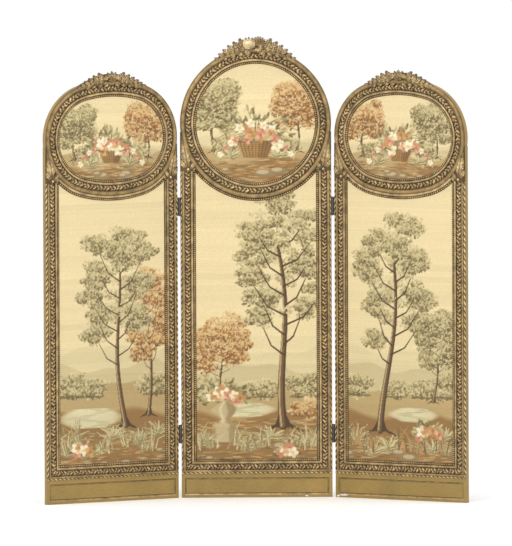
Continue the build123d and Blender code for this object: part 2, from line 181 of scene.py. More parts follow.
class Leaf:
    """One leaf's place in the room: along its width, up, and towards its carved face."""

    def __init__(self, name):
        self.name = name
        self.body = BODIES[name]
        self.roundel = Roundel(name)
        side = SIDES[name]
        turn, self.origin = 0.0, Vector((0, 0, 0))
        joint = next((j for j in frame["joints"] if j["child"] == self.body), None)
        if joint:
            turn = side * radians(joint["range_deg"][0])
        self.along = Vector((cos(turn), sin(turn), 0))
        self.front = Vector((sin(turn), -cos(turn), 0))
        if joint:
            x, y, _ = joint["pos_m"]
            self.origin = Vector((x, y, 0)) + self.along * x + self.front * y

    def place(self, x, z, depth):
        """Points of the leaf as rows of room coordinates."""
        x, z, depth = (np.ravel(a)[:, None] for a in np.broadcast_arrays(x, z, depth))
        ground = np.array(self.origin) + x * np.array(self.along) + depth * np.array(self.front)
        return ground + z * np.array((0.0, 0.0, 1.0))


LEAVES = [Leaf(name) for name in ("centre", "left", "right")]


class ScreenSizes(bpy.types.PropertyGroup):
    """Sizes of the carving and the weave."""

    carving_pitch: FloatProperty(
        name="Carving pitch", description="One repeat of the running leaf", default=0.060, unit="LENGTH"
    )
    carving_step: FloatProperty(
        name="Carving step",
        description="Distance between points along the carving",
        default=0.0019,
        unit="LENGTH",
    )
    bead_pitch: FloatProperty(
        name="Bead pitch", description="From one pearl to the next", default=0.008, unit="LENGTH"
    )
    bead_radius: FloatProperty(
        name="Bead radius", description="Radius of one pearl", default=0.0037, unit="LENGTH"
    )
    rope_pitch: FloatProperty(
        name="Rope pitch",
        description="From one strand of the edge rope to the next",
        default=0.023,
        unit="LENGTH",
    )
    cloth_cell: FloatProperty(
        name="Cloth cell", description="Cell of the woven picture's grid", default=0.0025, unit="LENGTH"
    )
    weave_rib: FloatProperty(
        name="Weave rib", description="Width of one rib of the weave", default=0.0018, unit="LENGTH"
    )
    tack_pitch: FloatProperty(
        name="Tack pitch", description="From one lining tack to the next", default=0.045, unit="LENGTH"
    )
    seed: IntProperty(name="Seed", description="Start of the random draws", default=7)


class ScreenColours(bpy.types.PropertyGroup):
    """Colours of the gilding, cloth and iron."""

    # Painted highlight on the carving's high points.
    gilt_highlight: FloatVectorProperty(
        name="Gilt light", description="Rubbed high points", default=(0.74, 0.58, 0.33), subtype="COLOR"
    )
    gilt_middle: FloatVectorProperty(
        name="Gilt middle", description="Aged gilding", default=(0.35, 0.235, 0.090), subtype="COLOR"
    )
    # Painted shade in the hollows of the carving.
    gilt_hollow_shade: FloatVectorProperty(
        name="Gilt dark", description="Grime in the hollows", default=(0.040, 0.019, 0.006), subtype="COLOR"
    )
    gilt_flat: FloatVectorProperty(
        name="Gilt flat", description="Flat boards", default=(0.31, 0.215, 0.068), subtype="COLOR"
    )
    lining: FloatVectorProperty(
        name="Lining", description="Cloth on the back", default=(0.15, 0.095, 0.045), subtype="COLOR"
    )
    iron: FloatVectorProperty(
        name="Iron", description="Hinge iron", default=(0.035, 0.03, 0.027), subtype="COLOR"
    )


def new_material(name):
    """An empty node material with its principled shader."""
    material = bpy.data.materials.new(name)
    material.use_nodes = True
    return material, material.node_tree.nodes["Principled BSDF"]


def add_node(material, kind, **inputs):
    """A node whose inputs are given by name, as values or as sockets to link from."""
    node = material.node_tree.nodes.new(kind)
    fill(material, node, **inputs)
    return node


def fill(material, node, **inputs):
    for name, value in inputs.items():
        socket = node.inputs[int(name[1:])] if name[1:].isdigit() else node.inputs[name.replace("_", " ")]
        if isinstance(value, bpy.types.NodeSocket):
            material.node_tree.links.new(value, socket)
        else:
            socket.default_value = value


def noise(material, scale, detail=3.0, roughness=0.55, vector=None):
    node = add_node(material, "ShaderNodeTexNoise", Scale=scale, Detail=detail, Roughness=roughness)
    if vector is None:
        vector = add_node(material, "ShaderNodeTexCoord").outputs["Object"]
    material.node_tree.links.new(vector, node.inputs["Vector"])
    return node.outputs["Fac"]


def ramp(material, factor, *stops):
    """A colour ramp through (place, colour) stops."""
    node = add_node(material, "ShaderNodeValToRGB", Fac=factor)
    elements = node.color_ramp.elements
    while len(elements) < len(stops):
        elements.new(0.5)
    for element, (place, colour) in zip(elements, stops):
        element.position = place
        element.color = (*colour, 1)
    return node.outputs["Color"]


def mix(material, factor, first, second, blend="MIX"):
    node = material.node_tree.nodes.new("ShaderNodeMix")
    node.data_type = "RGBA"
    node.blend_type = blend
    fill(material, node, _0=factor, _6=first, _7=second)
    return node.outputs[2]


def times(material, first, second):
    return mix(material, 1.0, first, second, "MULTIPLY")


def bump(material, height, strength, distance):
    node = add_node(material, "ShaderNodeBump", Height=height, Strength=strength, Distance=distance)
    return node.outputs["Normal"]


def grey(value):
    return (value, value, value)


def carved_gilt(colours):
    """Aged gilding on carving, with painted shade in the hollows and a painted highlight on what stands out.
    """
    material, shader = new_material("carved_gilt")
    relief = add_node(material, "ShaderNodeAttribute")
    relief.attribute_name = "relief"
    middle, dark, light = colours.gilt_middle, colours.gilt_hollow_shade, colours.gilt_highlight
    umber = [0.55 * a + 0.45 * b for a, b in zip(dark, middle)]
    # From painted shade in the hollows, through the gilding, to painted highlight on the high points.
    base = ramp(material, relief.outputs["Fac"], (0.04, dark), (0.34, umber), (0.64, middle), (0.96, light))
    cloud = ramp(material, noise(material, 36.0, 4.0), (0.34, grey(0.55)), (0.68, grey(1.22)))
    base = times(material, base, cloud)
    # Pale pinkish patches where the carving stands out: painted highlight, broken up by noise.
    paler = ramp(material, noise(material, 38.0, 2.0), (0.5, grey(0.0)), (0.64, grey(0.55)))
    highlight_mask = ramp(material, relief.outputs["Fac"], (0.55, grey(0.0)), (0.9, grey(1.0)))
    highlight_patches = times(material, paler, highlight_mask)
    base = mix(material, highlight_patches, base, (0.76, 0.56, 0.37, 1))
    worn = ramp(material, noise(material, 95.0, 4.0), (0.56, grey(0.0)), (0.72, grey(1.0)))
    base = mix(material, worn, base, mix(material, 0.55, base, (0.16, 0.075, 0.025, 1)))
    rough = ramp(material, noise(material, 60.0), (0.3, grey(0.34)), (0.75, grey(0.58)))
    fill(material, shader, Base_Color=base, Roughness=rough, Metallic=0.4)
    fill(material, shader, Normal=bump(material, noise(material, 420.0, 4.0), 0.25, 0.0006))
    return material


def flat_gilt(colours):
    """Gilding on flat boards, with brush marks, greenish age and rubbed patches."""
    material, shader = new_material("flat_gilt")
    flat = (*colours.gilt_flat, 1)
    age = ramp(material, noise(material, 7.0, 5.0), (0.3, (0.80, 0.80, 0.72)), (0.72, (1.14, 1.08, 0.98)))
    base = times(material, flat, age)
    grain = add_node(material, "ShaderNodeTexCoord").outputs["Object"]
    stretch = add_node(material, "ShaderNodeMapping", Vector=grain, Scale=(1.0, 1.0, 9.0)).outputs[0]
    streaks = noise(material, 40.0, 4.0, 0.6, stretch)
    base = times(material, base, ramp(material, streaks, (0.3, grey(0.86)), (0.7, grey(1.1))))
    rubbed = ramp(material, noise(material, 120.0, 5.0), (0.62, grey(0.0)), (0.74, grey(0.7)))
    base = mix(material, rubbed, base, (0.17, 0.085, 0.03, 1))
    rough = ramp(material, streaks, (0.3, grey(0.42)), (0.75, grey(0.6)))
    fill(material, shader, Base_Color=base, Roughness=rough, Metallic=0.3)
    fill(material, shader, Normal=bump(material, streaks, 0.2, 0.0005))
    return material


def rib_height(material, rib):
    """Ribs across and threads along the weave, from the cloth's own measure."""
    measure = add_node(material, "ShaderNodeUVMap").outputs["UV"]
    waves = []
    for direction, share in (("X", 1.0), ("Y", 0.45)):
        wave = material.node_tree.nodes.new("ShaderNodeTexWave")
        wave.bands_direction = direction
        fill(material, wave, Vector=measure, Scale=share * pi / (10 * rib), Distortion=0.4, Detail=1.0)
        waves.append(wave.outputs["Fac"])
    return mix(material, 0.4, waves[0], waves[1])


def woven_picture(sizes):
    """Wool and silk tapestry: its dyes come from the cloth, with ribs, slubs and a little sheen."""
    material, shader = new_material("woven_picture")
    dye = add_node(material, "ShaderNodeAttribute")
    dye.attribute_name = "dye"
    ribs = rib_height(material, sizes.weave_rib)
    # Darker where the ribs sink: painted shade between the ribs.
    ribbed = ramp(material, ribs, (0.0, grey(0.86)), (0.6, grey(1.02)))
    base = times(material, dye.outputs["Color"], ribbed)
    slubs = ramp(material, noise(material, 260.0, 3.0), (0.35, grey(0.93)), (0.7, grey(1.05)))
    base = times(material, base, slubs)
    fill(material, shader, Base_Color=base, Roughness=0.88, Sheen_Weight=0.15, Sheen_Roughness=0.5)
    fill(material, shader, Normal=bump(material, ribs, 0.5, 0.0006))
    return material


def lining_cloth(colours, sizes, name="lining_cloth", shade=1.0):
    """Plain brown cotton, a little faded."""
    material, shader = new_material(name)
    ribs = rib_height(material, sizes.weave_rib * 0.6)
    cloth = (*(shade * c for c in colours.lining), 1)
    faded = ramp(material, noise(material, 4.0, 4.0), (0.3, grey(0.82)), (0.75, grey(1.15)))
    base = times(material, cloth, faded)
    # Darker where the ribs sink: painted shade between the ribs.
    base = times(material, base, ramp(material, ribs, (0.0, grey(0.8)), (0.7, grey(1.05))))
    fill(material, shader, Base_Color=base, Roughness=0.92, Sheen_Weight=0.1)
    fill(material, shader, Normal=bump(material, ribs, 0.5, 0.0005))
    return material


def hinge_iron(colours):
    """Dark iron with a brown bloom."""
    material, shader = new_material("hinge_iron")
    iron = (*colours.iron, 1)
    bloom = ramp(material, noise(material, 180.0, 5.0), (0.5, grey(0.0)), (0.7, grey(0.8)))
    base = mix(material, bloom, iron, (0.09, 0.04, 0.018, 1))
    rough = ramp(material, noise(material, 90.0), (0.3, grey(0.38)), (0.7, grey(0.7)))
    fill(material, shader, Base_Color=base, Roughness=rough, Metallic=0.8)
    fill(material, shader, Normal=bump(material, noise(material, 500.0), 0.3, 0.0003))
    return material


def plain_wood():
    """Unfinished pine of the strainers."""
    material, shader = new_material("strainer_wood")
    place = add_node(material, "ShaderNodeTexCoord").outputs["Object"]
    along = add_node(material, "ShaderNodeMapping", Vector=place, Scale=(14.0, 14.0, 1.2)).outputs[0]
    rings = noise(material, 9.0, 5.0, 0.6, along)
    base = ramp(material, rings, (0.3, (0.30, 0.17, 0.07)), (0.6, (0.46, 0.29, 0.14)))
    fill(material, shader, Base_Color=base, Roughness=0.75, Normal=bump(material, rings, 0.2, 0.0005))
    return material


def chalk_ground():
    """White gesso where the gilding has chipped."""
    material, shader = new_material("gesso")
    base = ramp(material, noise(material, 300.0), (0.35, (0.62, 0.56, 0.45)), (0.65, (0.86, 0.82, 0.74)))
    fill(material, shader, Base_Color=base, Roughness=0.85)
    fill(material, shader, Normal=bump(material, noise(material, 700.0), 0.4, 0.0003))
    return material


def material_of(name, make, *settings):
    return bpy.data.materials.get(name) or make(*settings)


def refinish(node, material):
    """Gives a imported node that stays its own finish."""
    finishes = frame["nodes"][node].data.materials
    finishes.clear()
    finishes.append(material)


class Carving:
    """Gathers the carved patches of one piece, with a painted shade value at each point, and makes them one
    mesh.
    """

    def __init__(self):
        self.places, self.reliefs, self.faces, self.count = [], [], [], 0

    def take(self, x, z, depth, relief, faces):
        self.places.append(np.stack([np.ravel(a) for a in np.broadcast_arrays(x, z, depth)], -1))
        self.reliefs.append(np.ravel(np.broadcast_to(relief, np.shape(x))))
        self.faces.extend((faces + self.count).tolist())
        self.count += np.size(x)

    def patch(self, x, z, depth, relief, ground=None, closed=False, back=False):
        """A grid of points facing the front or the back; a ground walls its edges down to that depth."""
        x, z, depth, relief = np.broadcast_arrays(x, z, depth, relief)
        if ground is not None:
            pad = ((0, 0), (1, 1)) if closed else ((1, 1), (1, 1))
            x, z, relief = (np.pad(a, pad, mode="edge") for a in (x, z, relief))
            depth = np.pad(depth, pad, constant_values=ground)
        index = np.arange(x.size).reshape(x.shape)
        if closed:
            index = np.vstack((index, index[:1]))
        corners = (index[:-1, :-1], index[1:, :-1], index[1:, 1:], index[:-1, 1:])
        quads = np.stack([c.ravel() for c in corners], -1)
        flat_x, flat_z = x.ravel()[quads], z.ravel()[quads]
        turned = np.roll(flat_z, -1, 1)
        area = (flat_x * turned - np.roll(flat_x, -1, 1) * flat_z).sum()
        if (area < 0) != back:
            quads = quads[:, ::-1]
        self.take(x, z, depth, relief, quads)

    def domes(self, x, z, depth, radius, height, relief=(0.25, 1.0), around=8, rings=3):
        """Round beads standing on a depth, one at each place."""
        angle = 2 * pi * np.arange(around) / around
        rise = np.arange(rings) / rings * pi / 2
        out = np.append(np.cos(rise)[:, None] * np.ones(around), 0.0)
        up = np.append(np.sin(rise)[:, None] * np.ones(around), 1.0)
        turn = np.append(np.tile(angle, rings), 0.0)
        index = np.arange(rings * around).reshape(rings, around)
        ahead = np.roll(index, -1, 1)
        sides = np.stack([c.ravel() for c in (index[:-1], ahead[:-1], ahead[1:], index[1:])], -1)
        top = np.stack((index[-1], ahead[-1], np.full(around, rings * around)), -1)
        x, z, radius = (np.ravel(a)[:, None] for a in np.broadcast_arrays(x, z, radius))
        each = out.size * np.arange(x.size)[:, None, None]
        px, pz = x + radius * out * np.cos(turn), z + radius * out * np.sin(turn)
        # Painted shade at each dome's foot, rising to a painted highlight at its crown.
        values = relief[0] + (relief[1] - relief[0]) * up
        tall = depth + height * up + 0 * px
        low = self.count
        self.take(px, pz, tall, values + 0 * px, (sides + each).reshape(-1, 4))
        self.faces.extend((top + each + low).reshape(-1, 3).tolist())

    def make(self, name, leaf, material, sharp=50.0):
        """The mesh object, riding on its leaf and finished in the material given."""
        mesh = bpy.data.meshes.new(name)
        x, z, depth = np.concatenate(self.places).T
        mesh.from_pydata(leaf.place(x, z, depth).tolist(), [], self.faces)
        # Each point's value is painted shade in the hollows and painted highlight on what stands out, stored
        # for the carved gilt.
        relief = mesh.attributes.new("relief", "FLOAT", "POINT")
        relief.data.foreach_set("value", np.concatenate(self.reliefs).astype(np.float32))
        mesh.update()
        mesh.shade_smooth()
        mesh.set_sharp_from_angle(angle=radians(sharp))
        return add_piece(name, mesh, material, leaf.body)


def add_piece(name, mesh, material, body):
    piece = bpy.data.objects.new(name, mesh)
    bpy.context.scene.collection.objects.link(piece)
    mesh.materials.append(material)
    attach(piece, body)
    return piece


def dome(share):
    """A half circle's height at a share of its radius, nought outside it."""
    return np.sqrt(np.clip(1 - np.square(share), 0, 1))


def running_leaf(run, across, aspect):
    """Relief of a leafy scroll: a waving stem, a rosette in each hollow, lobed leaves about them."""
    stem = dome((across - 0.3 * np.sin(2 * pi * run)) / 0.13)
    half = np.floor(2 * run)
    beside = (run - half / 2 - 0.25) * aspect
    over = across + np.where(half % 2 < 0.5, 0.42, -0.42)
    angle = np.arctan2(over, beside)
    reach = np.hypot(beside, over) / (0.66 * (0.8 + 0.2 * np.cos(5 * angle)))
    rosette = dome(reach) * (0.72 + 0.28 * np.cos(5 * angle) * np.clip(reach, 0, 1))
    rosette = np.maximum(rosette, 1.05 * dome(reach / 0.32))
    lobes = 0.5 + 0.5 * np.cos(2 * pi * (4 * run + 0.55 * np.abs(across + 0.3 * np.sin(2 * pi * run))))
    leaves = 0.85 * lobes**1.3 * (1 - 0.7 * np.abs(across) ** 4)
    hollow = np.clip((reach - 1.0) / 0.35, 0, 1)
    return np.clip(np.maximum(np.maximum(0.8 * stem * hollow, rosette), leaves * hollow), 0, 1)


def moulding_section(outer, is_ring):
    """Places across a moulding with the heights and painted shades there, and its places in the carved band.
    """
    fillet = np.array(
        [[BEAD_WIDTH, 0.0036, 0.5], [0.0122, 0.0054, 0.72], [0.0182, 0.0055, 0.66], [0.0194, 0.0046, 0.5]]
    )
    # The quirk and the gap beside the carved band are near black: painted shade in the grooves.
    quirk = np.array([[0.0197, 0.0026, 0.02], [0.0203, 0.0026, 0.02]])
    band = np.linspace(CARVED_START, CARVED_END, 15)
    arch = 0.0042 + 0.0038 * np.sin(pi * np.linspace(0, 1, band.size)) ** 0.8
    carved = np.stack((band, arch, 0 * band), -1)
    gap = np.array([[CARVED_END + 0.0003, 0.0026, 0.02], [OUTER_START - 0.0001, 0.0026, 0.02]])
    share = np.linspace(0, 1, 9)
    place = OUTER_START + (outer - OUTER_START) * share
    if is_ring:
        rise, shade = 0.003 + 0.0035 * np.sin(pi * share) ** 0.6, 0.3 + 0.3 * np.sin(pi * share)
    else:
        fall = (2 * share - 1) ** 6
        rise, shade = 0.0045 - 0.0006 * fall, 0.62 - 0.3 * fall
    edge = np.stack((place, rise, shade), -1)
    section = np.concatenate((fillet, quirk, carved, gap, edge))
    across = 2 * (section[:, 0] - CARVED_MIDDLE) / (CARVED_END - CARVED_START)
    return section.T, across, (section[:, 2] == 0)


def carve_moulding(carving, x, z, run, pitch, outer, is_ring, closed=False):
    """Runs a moulding over a grid of places whose way along the carved band is run, in metres."""
    (_, height, shade), across, carved = moulding_section(outer, is_ring)
    relief = running_leaf(run / pitch, across, 2 * pitch / (CARVED_END - CARVED_START))
    tall = np.where(carved, height * (0.3 + 0.7 * relief), height)
    # The carved band's value follows its height: painted shade in its hollows, painted highlight on its tops.
    value = np.where(carved, 0.06 + 0.98 * relief**1.1, shade)
    carving.patch(x, z, FACE + tall, value, ground=FACE, closed=closed)


def even(length, pitch):
    """A pitch near the one given that divides the length evenly."""
    return length / max(1, round(length / pitch))


def full_turn(count):
    """Angles once round, as a column."""
    return np.linspace(0, 2 * pi, count, endpoint=False)[:, None]


def beside(place, way, across):
    """Grids of x and z that lie across from each place, in its outward direction."""
    return place[:, :1] + way[:, :1] * across, place[:, 1:] + way[:, 1:] * across


def leaf_shape(length, width, lobes, lift, curl=0.0, rows=25, columns=11, bend=0.0):
    """A lobed leaf growing up from its foot: places across and along, depth and shade."""
    u, v = np.linspace(0.015, 0.995, rows)[:, None], np.linspace(-1, 1, columns)[None, :]
    body = np.sin(pi * u**0.72) ** 0.75
    notch = 1 - 0.42 * (0.5 + 0.5 * np.cos(2 * pi * lobes * u)) * np.abs(v) ** 2
    x = 0.5 * width * v * body * notch + bend * length * u**2
    z = length * (u + 0.07 * np.abs(v) * body)
    fold = 0.5 + 0.5 * np.cos(2 * pi * lobes * (u - 0.09 * np.abs(v)))
    vein = np.exp(-np.square(v / 0.14))
    swell = np.sin(pi * u**0.8) * (1 - 0.6 * v**2)
    depth = lift * (0.25 + 0.75 * swell) * (1 - 0.3 * fold * np.abs(v)) + curl * u**3 - 0.18 * lift * vein
    shade = 0.12 + 0.85 * swell - 0.55 * fold * np.abs(v) ** 1.2 - 0.45 * vein + 0.4 * u**3
    return x, z, depth, np.clip(shade, 0, 1) ** 1.5


def rosette_shape(radius, petals, lift):
    """An open flower without its eye."""
    turn = full_turn(8 * petals)
    out = np.linspace(0.12, 1, 6)[None, :]
    lobe = 0.5 + 0.5 * np.cos(petals * turn)
    reach = radius * out * (0.74 + 0.26 * lobe**0.6)
    depth = lift * (0.35 + 0.65 * np.sin(pi * out**1.1 * 0.8)) * (0.55 + 0.45 * lobe)
    shade = np.clip(0.08 + 0.9 * lobe * np.sin(pi * out * 0.75), 0, 1)
    return reach * np.sin(turn), reach * np.cos(turn), depth, shade


def rib_shape(length, foot, tip, lift):
    """One rib of a shell, round at its tip."""
    u, v = np.linspace(0, 1, 14)[:, None], np.linspace(-1, 1, 7)[None, :]
    half = (foot + (tip - foot) * u) * dome(np.clip((u - 0.86) / 0.15, 0, 0.985))
    depth = lift * (0.45 + 0.55 * np.sin(0.5 * pi * u**0.7)) * (0.35 + 0.65 * dome(0.96 * v))
    return v * half, length * u + 0 * v, depth, np.clip(0.78 * dome(0.98 * v) ** 3 - 0.3 * (1 - u), 0, 1)


def put(carving, shape, x, z, turn, base, closed=False, mirror=1):
    """Sets a shape's foot at a place, its top turned clockwise from upright."""
    across, up, depth, shade = np.broadcast_arrays(*shape)
    across = across * mirror
    c, s = cos(turn), sin(turn)
    x, z, underside = x + across * c + up * s, z - across * s + up * c, base - 0.001
    carving.patch(x, z, base + depth, shade, ground=underside, closed=closed)
    carving.patch(x, z, underside, 0.3, closed=closed, back=True)


def flower(carving, x, z, radius, petals, base, lift):
    put(carving, rosette_shape(radius, petals, lift), x, z, 0.3, base, closed=True)
    carving.domes(x, z, base + 0.3 * lift, 0.3 * radius, 0.75 * lift, (0.4, 1.0), 10, 3)


class SCREEN_OT_camera(bpy.types.Operator):
    """Sets the camera where the photograph was taken from"""

    bl_idname = "screen.camera"
    bl_label = "Camera"

    def execute(self, context):
        azimuth, elevation, roll = radians(0.904), radians(3.652), radians(-0.269)
        distance, pixels_per_metre = 42.34, 251.7
        width, height, centre_x, centre_y = 512, 546, 256.15, 271.43
        look = Vector((sin(azimuth) * cos(elevation), cos(azimuth) * cos(elevation), -sin(elevation)))
        level = Vector((cos(azimuth), -sin(azimuth), 0))
        upright = level.cross(look)
        right = level * cos(roll) + upright * sin(roll)
        up = upright * cos(roll) - level * sin(roll)
        aim = Vector((0, 0, 0.9)) + right * ((width / 2 - centre_x) / pixels_per_metre)
        aim += up * ((centre_y - height / 2) / pixels_per_metre)
        data = bpy.data.cameras.new("camera")
        data.sensor_fit = "HORIZONTAL"
        data.sensor_width = 36.0
        data.lens = data.sensor_width * pixels_per_metre * distance / width
        data.clip_end = 4 * distance
        camera = bpy.data.objects.new("camera", data)
        context.scene.collection.objects.link(camera)
        place = aim - look * distance
        camera.matrix_world = Matrix((right, up, -look)).transposed().to_4x4()
        camera.location = place
        context.scene.camera = camera
        return {"FINISHED"}


class SCREEN_OT_boards(bpy.types.Operator):
    """Gilds the stiles, rails and base boards, and finishes the strainers"""

    bl_idname = "screen.boards"
    bl_label = "Frame boards"

    def execute(self, context):
        colours = context.scene.screen_colours
        gilt = material_of("flat_gilt", flat_gilt, colours)
        wood = material_of("strainer_wood", plain_wood)
        chalk = material_of("gesso", chalk_ground)
        for leaf in LEAVES:
            for board in ("left_stile", "right_stile", "ring_rail", "bottom_rail", "base_trim"):
                refinish(f"{leaf.name}_{board}", gilt)
            refinish(f"{leaf.name}_strainers", wood)
        chips = {
            "centre": ((0.197, 0.006, 0.006, 0.003),),
            "right": ((-0.262, 0.0105, 0.021, 0.0045), (-0.287, 0.006, 0.007, 0.004)),
        }
        random = np.random.default_rng(context.scene.screen_sizes.seed)
        for leaf in LEAVES:
            self.panel_lines(leaf, material_of("carved_gilt", carved_gilt, colours))
            carving = Carving()
            for x, z, wide, tall in chips.get(leaf.name, ()):
                turn = full_turn(18)
                ragged = 0.75 + 0.25 * random.random(turn.shape)
                out = np.array([[0.1, 0.6, 1.0]]) * ragged
                low = np.maximum(z + tall * out * np.sin(turn), 0.0008)
                outline = x + wide * out * np.cos(turn)
                carving.patch(outline, low, FACE + 0.0003, 1.0, ground=FACE, closed=True)
                carving.domes(x, z, FACE + 0.0001, 0.16 * tall, 0.0003, around=8)
            if carving.count:
                carving.make(f"{leaf.name}_gesso_chips", leaf, chalk)
        return {"FINISHED"}

    def panel_lines(self, leaf, gilt):
        """A small ogee inside the base panel's top and ends with a painted shadow line against the strip, and
        a ledge with a painted highlight on its nosing and a painted shadow line above it.
        """
        across = np.array([0.0002, 0.0014, 0.0018, 0.0028, 0.0040, 0.0050, 0.0056])
        rise = np.array([0.0006, 0.0006, 0.0020, 0.0025, 0.0016, 0.0007, 0.0002])
        # Dark against the strip, then light on the ogee's swell: painted shadow line and painted highlight.
        shade = np.array([0.0, 0.0, 0.4, 0.75, 0.6, 0.2, 0.1])
        ends = ((-PANEL_HALF, 1), (PANEL_HALF, -1))
        left, right = ([(x, PANEL_LOW, way, 0), (x, PANEL_HIGH, way, -1)] for x, way in ends)
        corners = np.array([*left, *right[::-1]])
        x, z, in_x, in_z = (corners[:, k : k + 1] for k in range(4))
        carving = Carving()
        depth = PANEL_GROUND + rise
        carving.patch(x + in_x * across, z + in_z * across, depth, shade, ground=PANEL_GROUND)
        up = np.array([0.0112, 0.0118, 0.0130, 0.0170, 0.0180, 0.0192])
        depth = FACE + np.array([0.0004, 0.0005, -0.0004, -0.0030, -0.0034, -0.0038])
        # Light on the nosing, dark where the ledge meets the sunk panel: painted highlight and painted shadow
        # line.
        shade = np.array([0.6, 0.8, 0.7, 0.5, 0.0, 0.05])
        x = np.array([[-PANEL_HALF], [PANEL_HALF]]) + 0 * up
        carving.patch(x, up + 0 * x, depth, shade, ground=PANEL_GROUND)
        carving.make(f"{leaf.name}_panel_lines", leaf, gilt)


class SCREEN_OT_mouldings(bpy.types.Operator):
    """Carves the ring, stile and bottom mouldings with a running leaf"""

    bl_idname = "screen.mouldings"
    bl_label = "Carved mouldings"

    def execute(self, context):
        sizes = context.scene.screen_sizes
        gilt = material_of("carved_gilt", carved_gilt, context.scene.screen_colours)
        step = sizes.carving_step
        for leaf in LEAVES:
            roundel = leaf.roundel
            place, way, share, length = roundel.walk(step)
            across = moulding_section(RING_OUTER, True)[0][0]
            carving = Carving()
            x, z = beside(place, way, across)
            pitch = even(length, sizes.carving_pitch)
            carve_moulding(carving, x, z, share[:, None] * length, pitch, RING_OUTER, True, closed=True)
            ring = carving.make(f"{leaf.name}_ring_carving", leaf, gilt)
            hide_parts(f"{leaf.name}_ring_moulding")

            across = moulding_section(STRAIGHT_OUTER, False)[0][0]
            top = roundel.spandrel_foot
            carving = Carving()
            count = round((top - SIGHT_BOTTOM) / step)
            down = np.linspace(0, 1, count)[:, None]
            z = top - down * (top - SIGHT_BOTTOM + across)
            for side in (-1, 1):
                x = side * (SIGHT_HALF + across) + 0 * z
                pitch = even(top - SIGHT_BOTTOM + CARVED_MIDDLE, sizes.carving_pitch)
                carve_moulding(carving, x, z, top - z, pitch, STRAIGHT_OUTER, False)
            count = round(2 * SIGHT_HALF / step)
            x = np.linspace(-1, 1, count)[:, None] * (SIGHT_HALF + across)
            pitch = even(SIGHT_HALF + CARVED_MIDDLE, sizes.carving_pitch)
            carve_moulding(carving, x, SIGHT_BOTTOM - across + 0 * x, x, pitch, STRAIGHT_OUTER, False)
            straight = carving.make(f"{leaf.name}_straight_carving", leaf, gilt)
            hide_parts(f"{leaf.name}_stile_mouldings", f"{leaf.name}_bottom_moulding")
        return {"FINISHED"}


def lower_edge(roundel, step):
    """The lower opening's edge as runs of places and outward directions, up one side and round the bite."""
    top = roundel.corner
    up = np.arange(SIGHT_BOTTOM + step / 2, top, even(top - SIGHT_BOTTOM, step))
    wide = 2 * SIGHT_HALF
    along = np.arange(-SIGHT_HALF, SIGHT_HALF, even(wide, step)) + even(wide, step) / 2
    runs = [
        (np.full_like(up, -SIGHT_HALF), up, (-1.0, 0.0)),
        (np.full_like(up, SIGHT_HALF), up, (1.0, 0.0)),
        (along, np.full_like(along, SIGHT_BOTTOM), (0.0, -1.0)),
    ]
    places = np.concatenate([np.stack(run[:2], -1) for run in runs])
    ways = np.concatenate([np.tile(run[2], (run[0].size, 1)) for run in runs])
    edge, way, _, _ = roundel.walk(step)
    bite = edge + way * roundel.lower_lip
    keep = (bite[:, 1] < roundel.spring) & (np.abs(bite[:, 0]) < SIGHT_HALF - step / 3)
    return np.concatenate((places, bite[keep])), np.concatenate((ways, -way[keep]))


